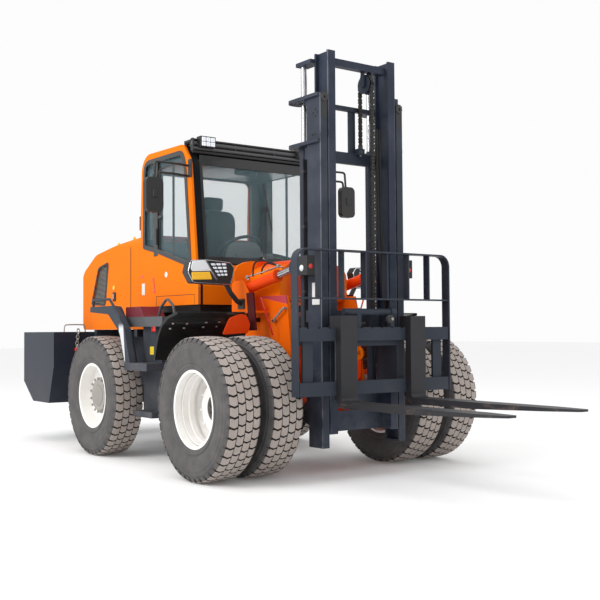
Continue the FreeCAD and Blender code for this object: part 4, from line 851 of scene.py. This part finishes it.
def cushion(name, spot, size, crown, tilt, seams, stands, grid):
    # padded block: rounded box swollen between its seams
    work = bmesh.new()
    bmesh.ops.create_cube(work, size=2)
    bmesh.ops.subdivide_edges(work, edges=work.edges, cuts=grid, use_grid_fill=True)
    sx, sy, sz = (s / 2 for s in size)
    for v in work.verts:
        p = v.co.copy()
        power = seatLook["squareness"]
        length = (abs(p.x) ** power + abs(p.y) ** power + abs(p.z) ** power) ** (1 / power)
        p = p / length * max(abs(p.x), abs(p.y), abs(p.z))
        top = max(0, p.z)
        dip = sum(depth * math.exp(-((p[axis] - at) / width) ** 2) for axis, at, depth, width in seams)
        shoulder = 0.30 * max(0, abs(p.y) - 0.62)
        z = p.z * sz + top * crown * ((1 - p.x * p.x) * (1 - p.y * p.y) + shoulder * 1.4) - top * dip
        v.co = Vector((p.x * sx, p.y * sy, z))
    turn = Matrix.Rotation(tilt, 3, "Y")
    for v in work.verts:
        p = turn @ v.co + Vector(spot)
        v.co = place(*p)
    mesh = bpy.data.meshes.new(name)
    work.to_mesh(mesh)
    work.free()
    mesh.materials.append(seatFabric)
    mesh.shade_smooth()
    piece = bpy.data.objects.new(name, mesh)
    bpy.context.scene.collection.objects.link(piece)
    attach(piece, "rear")
    if stands:
        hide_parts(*stands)


upright = -math.pi / 2 + seatLook["rake"]
fill, grid = seatLook["fill"], seatLook["grid"]
cushion("seat_cushion_pad", (-1512, 0, 1655), (440, 494, 96), 14, 0.0,
        ((1, 0.55, 9, 0.05), (1, -0.55, 9, 0.05), (0, 0.1, 6, 0.05), (0, -0.4, 6, 0.05)),
        ("seat_cushion",), grid)
cushion("seat_back_pad", (-1712, 0, 1990), (560, 456, 100), 12, upright,
        ((1, 0.6, 9, 0.05), (1, -0.6, 9, 0.05), (0, 0.0, 6, 0.05), (0, 0.45, 6, 0.05)),
        ("seat_back",), grid)
cushion("headrest_pad", (-1722, 0, 2335), (130, 210, 74), 8, upright, (), (),
        seatLook["headGrid"])

maker = Maker("seat_fittings", "rear", blackPlastic, zinc)
for y in (-45, 45):
    maker.tube([(-1735, y, 2230), (-1732, y, 2300)], 6, 8, 1)
for y in (-1, 1):
    maker.plate([(-1700, 1850), (-1480, 1840), (-1440, 1862), (-1480, 1892), (-1710, 1895)], 18, 3,
                "Y", y * 245, y * 290, 8)
maker.plate([(-1790, 1660), (-1752, 1640), (-1728, 2250), (-1768, 2270)], 16, 3, "Y", -222, 222, 6)
maker.build()
print("seat ready")


# ---- body sides ----

bodyLook = {"seam": 2.4, "rearSeam": 2.0, "lowSeam": 1.8,
            "bars": 33, "barStep": 12.6, "slats": 15, "lean": 0.30}


def sideSeams(side):
    name = "left" if side > 0 else "right"
    y = side * 620
    maker = Maker(f"hood_seams_{name}", "rear", blackPlastic)
    maker.tube([(-2218, y, 1150), (-2218, y, 1930)], bodyLook["seam"], 6)
    maker.tube([(-1952, y, 1150), (-1952, y, 1930)], bodyLook["rearSeam"], 6)
    maker.tube([(-2218, y, 1215), (-1955, y, 1215)], bodyLook["lowSeam"], 6)
    maker.build()
    # grille in the vent
    maker = Maker(f"hood_grille_{name}", "rear", blackPlastic, hubGrey)
    vent = [(-2716, 1820), (-2788, 1379), (-3128, 1398), (-2954, 1773)]

    def edgeX(z):
        # the vent's two edges at a height
        front = -2788 + (z - 1379) / (1820 - 1379) * 72
        rear = -3128 + (z - 1398) / (1773 - 1398) * 174
        if z > 1773:
            rear = -2954 + (z - 1773) / 47 * 238
        return min(rear, front), max(rear, front)

    rows = [1392 + k * 26 for k in range(17)]
    maker.rings([[(edgeX(z)[0] + 4, side * 584, z), (edgeX(z)[1] - 4, side * 584, z)] for z in rows[:-1]],
                False)
    for k in range(bodyLook["bars"]):
        z = 1394 + k * bodyLook["barStep"]
        low, high = edgeX(z)
        if high - low > 20:
            maker.tube([(low + 6, side * 604, z), (high - 6, side * 604, z)], 2.6, 5, 1, False)
    lean = bodyLook["lean"]
    for k in range(bodyLook["slats"]):
        x = -3110 + k * 26
        top = [z for z in rows if edgeX(z)[0] + 5 < x + (z - 1392) * lean < edgeX(z)[1] - 5]
        if len(top) > 1:
            maker.tube([(x + (z - 1392) * lean, side * 600, z) for z in (top[0], top[-1])], 3, 5, 0, False)
    ribbon(maker, roundOutline(vent, 38, 5), 20, side * 621, side * 3)
    maker.build()
    # lamp and latch
    maker = Maker(f"hood_fittings_{name}", "rear", blackPlastic, amberLens, zinc)
    maker.lathe([(24, 0), (24, side * 5), (17, side * 9), (0.5, side * 11)], (-2584, y, 1553), "Y", 24, 1)
    maker.boxes((-2602, -2546, y - side * 1, y + side * 12, 1420, 1510, 8),
                (-2588, -2560, y + side * 12, y + side * 17, 1440, 1490, 4, 2))
    maker.build()


sideSeams(1)
sideSeams(-1)

# blank stickers on the right side: outline, material, thickness
labels = {
    "label_round": ([(-1426 + 26 * math.cos(a), 1625 + 26 * math.sin(a)) for a in turns(20)], blank, 2),
    "label_white": ([(-1900, 1457), (-1840, 1455), (-1838, 1562), (-1898, 1564)], blank, 2),
    "reflector_red": ([(-1658, 1468), (-1636, 1468), (-1664, 1610), (-1686, 1610)], redLens, 4),
    "label_small_red": ([(-1915, 1617), (-1870, 1617), (-1870, 1640), (-1915, 1640)], redLens, 2),
}
for side, body, name in ((-1, "rear", "right"), (1, "cab_door", "left")):
    y = side * 660.5
    maker = Maker(f"cab_side_lines_{name}", body, blackPlastic, orange)
    if side < 0:
        for path in ([(-853, y, 1350), (-853, y, 1500)], [(-1613, y, 1435), (-1613, y, 1350)],
                     [(-1613, y, 1435), (-922, y, 1432), (-922, y, 1350)]):
            maker.tube(path, 2.2, 6)
    # pressed crease falling towards the nose
    top = [(-1816, 1682), (-1500, 1612), (-1150, 1534), (-962, 1490)]
    maker.rings([[(x, y - side * 1, z + 9), (x, y + side * 3.5, z), (x, y - side * 1, z - 3)]
                 for x, z in top if side < 0 or x > -1780], False, 1)
    maker.build()
    if side < 0:
        for label, (corners, material, thick) in labels.items():
            maker = Maker(label, body, material)
            maker.plate(corners, 6, 3, "Y", y, y - thick, 0.6)
            maker.build()
print("body sides ready")


# ---- front frame, lamps, fenders ----

frontLook = {"diodeRows": 4, "diodeColumns": 3, "hose": 9}

# the headlamp's faces, as (distance from the middle, height): depth from, to, chamfer, material
lampFaces = (
    ([(1020, 1670), (868, 1680), (652, 1665), (618, 1620), (652, 1490), (996, 1500), (1044, 1580)],
     -366, -361, 2, 0),
    ([(1006, 1668), (898, 1679), (817, 1592), (876, 1593), (1007, 1586), (1021, 1611)], -362, -352, 4, 1),
    ([(1014, 1580), (847, 1588), (825, 1528), (1007, 1521)], -362, -352, 4, 2),
    ([(898, 1682), (880, 1682), (772, 1522), (790, 1522)], -362, -350, 3, 3),
)
for side, name in ((-1, "right"), (1, "left")):
    # running light, turn light, silver bezel and grid of diodes on the headlamp
    maker = Maker(f"headlamp_face_{name}", "front", blackPlastic, whiteLens, amberLens, chrome, ledLens)
    for points, *rest in lampFaces:
        maker.plate([(side * y, z) for y, z in points], 8, 3, "X", *rest)
    rows, columns = frontLook["diodeRows"], frontLook["diodeColumns"]
    corners = [Vector(p) for p in ((850, 1660), (692, 1666), (678, 1556), (768, 1550))]

    def spot(u, v):
        p = corners[0].lerp(corners[1], u).lerp(corners[3].lerp(corners[2], u), v)
        return side * p.x, p.y

    for row in range(rows):
        for column in range(columns):
            u0, u1 = column / columns + 0.03, (column + 1) / columns - 0.03
            v0, v1 = row / rows + 0.05, (row + 1) / rows - 0.05
            maker.plate([spot(u0, v0), spot(u1, v0), spot(u1, v1), spot(u0, v1)], 8, 3, "X", -362, -351, 5, 4)
    # bezel rim round the whole face
    rim = roundOutline([(1019, 1669), (867, 1679), (651, 1664), (619, 1620), (651, 1491), (997, 1501),
                        (1043, 1580)], 14, 4)
    maker.tube([(-358, side * y, z) for y, z in rim + rim[:1]], 4, 6, 3, False)
    maker.build()

# pipe and hoses of the tilt cylinder
maker = Maker("tilt_pipes", "tilt_barrels", hoseBlack, zinc, castIron, chrome)
loops = [[(-355, 1560), (-352, 1628), (-323, 1672), (-264, 1684), (-181, 1681), (-100, 1662), (-21, 1636)],
         [(-250, 1575), (-238, 1618), (-193, 1651), (-147, 1658), (-66, 1642), (-12, 1630)]]
for k, loop in enumerate(loops):
    maker.tube(curvePoints([(x, -438 + 12 * k, z) for x, z in loop]), 7.5)
maker.tube(curvePoints([(x, -434, z) for x, z in ((-437, 1536), (-437, 1560), (-418, 1567), (-340, 1575),
                                                  (-67, 1611), (-6, 1622))], 5), 7, 10, 3)
maker.tube(curvePoints([(x, -424, z) for x, z in ((-212, 1712), (-216, 1697), (-180, 1683), (-89, 1648),
                                                  (-4, 1626))], 5), 4.5, 8, 3)
maker.lathe([(0.5, -14), (14, -13), (16, -10), (16, 10), (14, 13), (0.5, 14)], (-445, -434, 1560), "Y", 16, 1)
maker.box(-16, 14, -450, -420, 1612, 1642, 5, 1)
maker.tube([(14, -434, 1622), (58, -432, 1612)], 6, 8, 3)
maker.build()

maker = Maker("frame_faces", "front", redOrange, redLens, strutShade)
for side in (-1, 1):
    # edge bead and gusset on the frame's front plate
    maker.tube([(-108, side * 529, 1385), (-108, side * 416, 1083)], 7, 6, 1)
    if side < 0:
        maker.plate([(-827, 1087), (-762, 1220), (-669, 1251), (-603, 1251), (-566, 1164), (-585, 1101)],
                    22, 4,
                    "X", -216, -200, 4)
    # dark strut under the tilt cylinder's bracket, standing in for the shade there: painted shade
    maker.slab([(-334, 1425), (-234, 1425), (-196, 1120), (-292, 1120)], "Y", side * 522, side * 504, 4, 2)
maker.build()

maker = Maker("front_hoses", "front", hubGrey, chrome, zinc)
for side in (-1, 1):
    maker.tube(curvePoints([(x, side * y, z) for x, y, z in ((-140, 384, 1198), (-110, 390, 1218),
                                                             (-60, 392, 1252), (-24, 392, 1276),
                                                             (6, 390, 1294))]), frontLook["hose"])
    maker.lathe([(0.5, side * 358), (17, side * 358), (17, side * 386), (14, side * 398), (0.5, side * 400)],
                (-144, 0, 1196), "Y", 12, 1)
    maker.box(-6, 14, side * 358, side * 398, 1284, 1304, 4, 2)
maker.build()

maker = Maker("fender_fittings", "front", zinc)
for side in (-1, 1):
    for x, y, z in ((-427, 1139, 1184), (-429, 1014, 1183), (-414, 848, 1191), (-407, 731, 1195),
                    (-466, 1144, 1145), (-464, 1022, 1148), (-459, 851, 1155), (-456, 729, 1159)):
        maker.lathe([(0.5, -12), (10, -12), (12, -9), (12, 0)], (x, side * y, z), "Z", 6)
maker.build()
print("front ready")


# ---- mast fittings ----

mastLook = {"chainPitch": 25.4, "chainWidth": 30}


def linkChain(maker, path, pitch, width, material=0):
    # leaf chain: stacks of figure-eight plates and their pins along a path
    points = [Vector(p) for p in path]
    lengths = [0]
    for a, b in zip(points, points[1:]):
        lengths.append(lengths[-1] + (b - a).length)
    count = int(lengths[-1] / pitch)

    def at(s):
        s = min(max(s, 0), lengths[-1])
        for k in range(len(points) - 1):
            if s <= lengths[k + 1] + 1e-6:
                t = (s - lengths[k]) / max(lengths[k + 1] - lengths[k], 1e-6)
                return points[k].lerp(points[k + 1], t)
        return points[-1].copy()

    pins = [at(k * lengths[-1] / count) for k in range(count + 1)]
    outer = width / 2
    layers = ((0, -outer, -outer * 0.72), (1, -outer * 0.70, -outer * 0.40),
              (0, -outer * 0.38, -outer * 0.10),
              (1, -outer * 0.08, outer * 0.20), (0, outer * 0.22, outer * 0.50),
              (1, outer * 0.52, outer * 0.72),
              (0, outer * 0.74, outer))
    for k in range(count):
        a, b = pins[k], pins[k + 1]
        way = (b - a).normalized()
        normal = Vector((-way.z, 0, way.x))
        shape = []
        for end, sign in ((a, 1), (b, -1)):
            for turn in range(5):
                angle = sign * math.pi / 2 + math.pi * turn / 4
                shape.append(end + (way * math.cos(angle) + normal * math.sin(angle)) * pitch * 0.40)
            shape.append((a + b) / 2 - normal * sign * pitch * 0.26)
        for parity, y0, y1 in layers:
            if parity != k % 2:
                continue
            maker.rings([[p + Vector((0, y0, 0)) for p in shape], [p + Vector((0, y1, 0)) for p in shape]],
                        True, material, True)
    for p in pins:
        maker.lathe([(0.5, -outer - 2.5), (4.4, -outer - 2.5), (4.4, outer + 2.5), (0.5, outer + 2.5)],
                    tuple(p), "Y", 8, material)


low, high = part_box("lift_chain")
midY = (low.y + high.y) / 2
halfTurn = (high.x - low.x) / 2
chainThick = 0.024
sheaveX, sheaveZ = (low.x + high.x) / 2, high.z - halfTurn
mean = halfTurn - chainThick / 2
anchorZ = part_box("lift_cylinders")[1].z + 0.022
toAxle = Vector((0.8, 0, 0))


def millimetres(p):
    return tuple((Vector(p) - toAxle) * 1000)


def chainRun(name, body, path, **options):
    maker = Maker(name, body, chainSteel)
    linkChain(maker, [millimetres(p) for p in path], mastLook["chainPitch"], mastLook["chainWidth"])
    maker.build(**options)


rearX, frontX = sheaveX - mean, sheaveX + mean
anchor, rearTop = Vector((rearX, midY, anchorZ)), Vector((rearX, midY, sheaveZ))
post, frontTop = Vector((frontX, midY, low.z)), Vector((frontX, midY, sheaveZ))
chainRun("chain_rear_run", "mast", (anchor, rearTop), between=("mast", "inner_mast", anchor, rearTop))
chainRun("chain_front_run", "inner_mast", (post, frontTop),
         between=("inner_mast", "carriage", frontTop, post))
arc = [math.pi * k / 24 for k in range(25)]
chainRun("chain_loop", "inner_mast", [(sheaveX - mean * math.cos(a), midY, sheaveZ + mean * math.sin(a))
                                      for a in arc], stands=("lift_chain",))

# chain anchors
maker = Maker("chain_anchor", "mast", zinc, castIron)
x, y, z = millimetres((rearX, midY, anchorZ))
maker.tube([(x, y, z - 60), (x, y, z + 20)], 9, 12, 0)
maker.box(x - 13, x + 13, y - 17, y + 17, z - 6, z + 24, 4, 1)
maker.lathe([(0.5, -34), (17, -34), (17, -20), (0.5, -20)], (x, y, z), "Z", 6, 0)
maker.build()
maker = Maker("chain_post_anchor", "carriage", zinc, castIron)
x, y, z = millimetres((frontX, midY, low.z))
maker.box(x - 13, x + 13, y - 17, y + 17, z - 4, z + 30, 4, 1)
maker.tube([(x, y, z - 20), (x, y, z + 8)], 9, 12, 0)
maker.build()

maker = Maker("mast_fittings", "mast", blank, castIron, hoseBlack, blackPlastic)
railBolts = [(462, 2788), (462, 2734), (435, 2761), (489, 2761)]
railBolts += [(440 + dx, z) for z in (2600, 820) for dx in (-16, 16)]
for side in (-1, 1):
    for x, z in railBolts:
        maker.lathe([(0.5, side * 6), (8, side * 6), (9, side * 4), (9, 0)], (x, side * 410, z), "Y", 6, 1)
    # gland and collar over each barrel
    maker.lathe([(25, 0), (44, 0), (46, 3), (46, 26), (43, 30), (31, 32), (26, 46), (25, 46)],
                (220, side * 332, 2530), "Z", 32, 3)
    # pipe up the barrel and its clamps
    maker.tube([(262, side * 372, 700), (262, side * 372, 2330), (246, side * 362, 2440)], 8, 10, 2)
    for z in (980, 1400, 1900, 2330):
        maker.box(240, 276, side * 384, side * 350, z, z + 26, 5, 1)
    # slider pads at the rail's head
    maker.box(366, 520, side * 372, side * 349, 2862, 2898, 3, 3)
maker.plate([(412, 1310), (504, 1310), (504, 1476), (412, 1476)], 6, 3, "Y", -410, -412, 0.5)
maker.build()

maker = Maker("mast_hoses", "mast", hoseBlack)
for d in (0, 28):
    maker.tube(curvePoints([(x, y - d, z) for x, y, z in (
        (468, 306, 900), (470, 300, 1289), (474, 262, 1420), (476, 239, 1651), (476, 225, 1900),
        (474, 220, 2520), (470, 222, 2700))]), 11)
maker.build()

# side lamps on the mast
for side, name in ((-1, "right"), (1, "left")):
    maker = Maker(f"side_lamp_{name}", "mast", blackPlastic, redLens, whiteLens)
    maker.lathe([(0.5, 34), (12, 32), (22, 26), (29, 14), (30, 0), (0.5, 0)],
                (478, side * 493, 1595), "X", 24, 1)
    maker.lathe([(0.5, side * 12), (16, side * 10), (23, side * 4), (24, 0)],
                (437, side * 526, 1583), "Y", 24, 2)
    maker.build()
print("mast ready")


# ---- carriage buffer and stud ----

carriageLook = {"buffer": (690, 104, 1200), "stud": 38}

maker = Maker("carriage_fittings", "carriage", castIron, zinc)
x, y, z = carriageLook["buffer"]
maker.lathe([(0.5, 0), (24, 0), (32, 4), (32, 30), (24, 36), (0.5, 38)], (x, y, z), "X", 24)
maker.lathe([(0.5, 0), (12, 0), (12, 12), (0.5, 12)], (x + carriageLook["stud"], y, z), "X", 6, 1)
maker.build()
print("carriage ready")


# ---- zones on the front cover, mast rails, fenders, frame and carriage ----

def band(value, low, high):
    return value.step(low, low + 0.001) * (1 - value.step(high, high + 0.001))


def railSkin(name, base, innerY, topZ):
    # scraped steel where the rollers run, and a painted highlight along the rails' front corners
    paint = Paint(name, base, 0.40, 0, 0.06, Coat_Roughness=0.2, Specular_IOR_Level=0.16)
    x, y, z = paint.split(paint.where())
    away = y.math("ABSOLUTE")
    cloud = paint.noise(4, 5)
    streak = paint.node("ShaderNodeCombineXYZ", X=x * 30, Y=y * 30, Z=z * 2.2)
    scratch = paint.noise(2.2, 6, streak)
    face = x.step(1.318, 1.322)
    low = z.step(0.66, 0.72) * (1 - z.step(topZ, topZ + 0.05))
    track = band(away, innerY - 0.003, innerY + 0.026) * face * low * scratch.step(0.30, 0.50) * 0.8
    # painted highlight: lighter bands along the rails' front corners, broken up by noise
    edges = band(away, 0.4070, 0.4115) + band(away, 0.3310, 0.3360)
    corner = edges * face * cloud.step(0.30, 0.55) * 0.55
    dust = cloud.step(0.45, 0.8) * 0.12 + (1 - z.step(0.3, 0.9)) * cloud.step(0.35, 0.7) * 0.2
    shade = paint.mix(cloud.step(0.35, 0.7) * 0.5, base, [c * 1.5 for c in base])
    shade = paint.mix(dust, shade, (0.15, 0.155, 0.17))
    shade = paint.mix(corner, shade, (0.20, 0.215, 0.235))
    paint.set("Base Color", paint.mix(track, shade, (0.42, 0.42, 0.41)))
    paint.set("Roughness", 0.42 + cloud * 0.1)
    paint.bump(paint.noise(700, 2), 0.05, 0.0005)
    return paint.material


def flank(x, y):
    # the outer faces of the front tower, ahead of the cab
    return band(y.math("ABSOLUTE"), 0.350, 0.366) * x.step(0.46, 0.462)


finishNodes(railSkin("outer mast paint", finishes["mastGrey"], 0.9, 0.7), "outer_mast")
finishNodes(railSkin("inner mast paint", (0.021, 0.028, 0.046), 0.265, 1.02), "inner_mast")
# front cover: orange, with painted shade turning the middle of the cover red
finishNodes(zonedPaint("front cover paint", finishes["orange"], [
    (lambda x, y, z: (1 - y.math("ABSOLUTE").step(0.20, 0.34)) * 0.9, (0.72, 0.045, 0.006)),
], 0.34, 0.15, 0.06), "front_cover")
# painted reflection: a bright silver strip on the outer face of each rear fender's side member
finishNodes(zonedPaint("rear fender paint", finishes["stepGrey"], [
    (lambda x, y, z: y.math("ABSOLUTE").step(1.044, 1.047) * band(x + (z - 1.0) * 0.12, -0.762, -0.672)
     * z.step(0.84, 0.88) * (1 - z.step(1.14, 1.20)), (0.62, 0.63, 0.65)),
], 0.35, 0.1, 0.2), "rear_fenders")
finishNodes(zonedPaint("front frame paint", finishes["frameOrange"], [
    # painted reflection: pink bands along the tower's upward facets
    (lambda x, y, z: flank(x, y) * z.step(1.386, 1.389) * (1 - z.step(1.395, 1.400)), (0.50, 0.07, 0.09)),
    (lambda x, y, z: flank(x, y) * (z + (x - 0.46) * 0.165).step(1.386, 1.389) * (1 - z.step(1.390, 1.393)),
     (0.50, 0.07, 0.09)),
    # near black below about 0.6 m
    (lambda x, y, z: 1 - z.step(0.60, 0.66), (0.020, 0.016, 0.016)),
], 0.34, 0.04, 0.06), "front_frame")
finishNodes(zonedPaint("carriage paint", (0.040, 0.047, 0.062), [
    (lambda x, y, z: band(z, 1.129, 1.142) * x.step(1.462,
                                                    1.464) * (y * 10 + 0.5).math("FRACT").step(0.82, 0.84),
     (0.006, 0.007, 0.009)),
], 0.40, 0.08, 0.08), "carriage")
print("CAD nodes finished:", len(finished), "of", len(nodes))


# ---- small things on the frame behind the carriage ----

maker = Maker("frame_eyes", "front", orange, redOrange, hoseBlack)
for side in (-1, 1):
    y0 = side * 268
    # eye inside the tower, its bracket and foot, then the lug outside and the hose arched over it
    maker.lathe([(23, -9), (48, -9), (51, -7), (51, 7), (48, 9), (23, 9), (21, 7), (21, -7), (23, -9)],
                (146, y0, 925), "Y", 32)
    maker.plate([(60, 880), (176, 880), (168, 730), (140, 716), (60, 716)], 10, 4, "Y", y0 - 9, y0 + 9, 3, 1)
    maker.boxes((30, 62, side * 262, side * 332, 730, 860, 5, 1),
                (34, 62, side * 352, side * 500, 752, 792, 6, 1),
                (36, 60, side * 480, side * 502, 752, 830, 6))
    maker.tube(curvePoints([(50, side * y, z) for y, z in ((358, 812), (372, 852), (410, 872), (462, 866),
                                                           (496, 828))], 5), 9, 10, 2)
maker.build()

# slot and guide roller at the head of each outer rail
maker = Maker("rail_head_slots", "mast", blackPlastic, castIron)
for side in (-1, 1):
    maker.plate([(side * y, z) for y, z in ((350, 2712), (398, 2712), (398, 2912), (350, 2912))], 8, 3,
                "X", 529, 531.5, 0.8)
    maker.lathe([(0.5, 529), (10, 529), (10, 540), (30, 540), (32, 537), (32, 531)], (0, side * 375, 2871),
                "X", 24, 1)
maker.build()


# ---- counterweight chain, tags and caps ----

weightLook = {"links": 6, "step": 31, "linkWidth": 15, "linkHeight": 22, "wire": 5}

maker = Maker("weight_chain", "rear", zinc, redLens, castIron)
wide, high = weightLook["linkWidth"], weightLook["linkHeight"]
for k in range(weightLook["links"]):
    # every other link is turned a quarter
    way = Vector((1, 0, 0)) if k % 2 else Vector((0, 1, 0))
    centre = Vector((-3050, -797 - 3 * k, 1128 - weightLook["step"] * k))
    ring = [centre + way * (wide * math.cos(a)) + Vector((0, 0, high * math.sin(a)))
            for a in (2 * math.pi * t / 16 for t in range(17))]
    maker.tube(ring, weightLook["wire"], 6, 0, False)
maker.box(-3062, -3038, -834, -802, 925, 958, 4, 1)
maker.tube([(-3072, -797, 1148), (-3040, -797, 1148)], 7, 10, 2)
maker.tube(curvePoints([(-3078, y, z) for y, z in ((-938, 1118), (-930, 1180), (-900, 1192), (-750, 1192),
                                                   (-718, 1180), (-710, 1118))], 4), 6, 8)
maker.build()

maker = Maker("small_tags", "rear", yellowBlank, redLens, amberLens)
maker.plate([(-1342, 917), (-1271, 917), (-1271, 987), (-1342, 987)], 8, 3, "Y", -865, -867.5, 0.6)
maker.box(-1243, -1173, -906, -896, 1116, 1163, 4, 1)
for x, z in ((-2620, 1958), (-2280, 1992)):
    maker.lathe([(0.5, 50), (9, 47), (13, 36), (14, 20), (18, 18), (18, -30)], (x, -550, z), "Z", 16, 2)
maker.build()

# instrument dome behind the windscreen
maker = Maker("dash_dome", "rear", greyPlastic)
dome = ((1.0, 0), (1.0, 90), (0.96, 180), (0.84, 240), (0.6, 272), (0.3, 284))
maker.rings([[(-1070 + 95 * grow * math.cos(a), -60 + 190 * grow * math.sin(a), 1640 + up) for a in turns(28)]
             for grow, up in dome], True, 0, True)
maker.build(35)
print("details ready")


# ---- studio ----

studio = {"floor": 60, "key": 470, "fill": 60, "top": 190, "sky": 0.98}


def area(name, power, size, spot, aim):
    lamp = bpy.data.lights.new(name, "AREA")
    lamp.energy, lamp.size = power, size
    lampObject = bpy.data.objects.new(name, lamp)
    lampObject.location = spot
    lampObject.rotation_euler = (Vector(aim) - Vector(spot)).to_track_quat("-Z", "Y").to_euler()
    bpy.context.scene.collection.objects.link(lampObject)
    return lampObject


floorMesh = bpy.data.meshes.new("studio_floor")
half = studio["floor"]
floorMesh.from_pydata([(-half, -half, 0), (half, -half, 0), (half, half, 0), (-half, half, 0)], [],
                      [(0, 1, 2, 3)])
floorMesh.materials.append(floorPaint)
floor = bpy.data.objects.new("studio_floor", floorMesh)
bpy.context.scene.collection.objects.link(floor)
lamps = [
    area("key_light", studio["key"], 4.5, (0.5, -9, 6.5), (0, 0, 1.2)),
    area("fill_light", studio["fill"], 6, (9, 2, 5), (0.5, 0, 1.2)),
    area("top_light", studio["top"], 7, (-1, -1, 9), (0, 0, 1)),
]

world = bpy.data.worlds.new("studio")
world.use_nodes = True
world.node_tree.nodes["Background"].inputs["Color"].default_value = (1, 1, 1, 1)
world.node_tree.nodes["Background"].inputs["Strength"].default_value = studio["sky"]
bpy.context.scene.world = world


# ---- camera ----

cameraLook = {"spot": (7.038, -4.778, 1.118), "yaw": 2.511, "pitch": 0.0315, "roll": -0.007, "lens": 57.96}
yaw, pitch, roll = cameraLook["yaw"], cameraLook["pitch"], cameraLook["roll"]
forward = Vector((math.cos(yaw) * math.cos(pitch), math.sin(yaw) * math.cos(pitch), math.sin(pitch)))
sideways = Vector((math.sin(yaw), -math.cos(yaw), 0))
upward = sideways.cross(forward)
rolledAcross = sideways * math.cos(roll) + upward * math.sin(roll)
rolledUp = upward * math.cos(roll) - sideways * math.sin(roll)
cameraData = bpy.data.cameras.new("camera")
cameraData.lens, cameraData.sensor_width = cameraLook["lens"], 36
cameraData.clip_end = 200
camera = bpy.data.objects.new("camera", cameraData)
turned = Matrix((rolledAcross, rolledUp, -forward)).transposed().to_4x4()
turned.translation = cameraLook["spot"]
camera.matrix_world = turned
bpy.context.scene.collection.objects.link(camera)
bpy.context.scene.camera = camera
bpy.context.scene.view_settings.view_transform = "Standard"
print("studio ready")
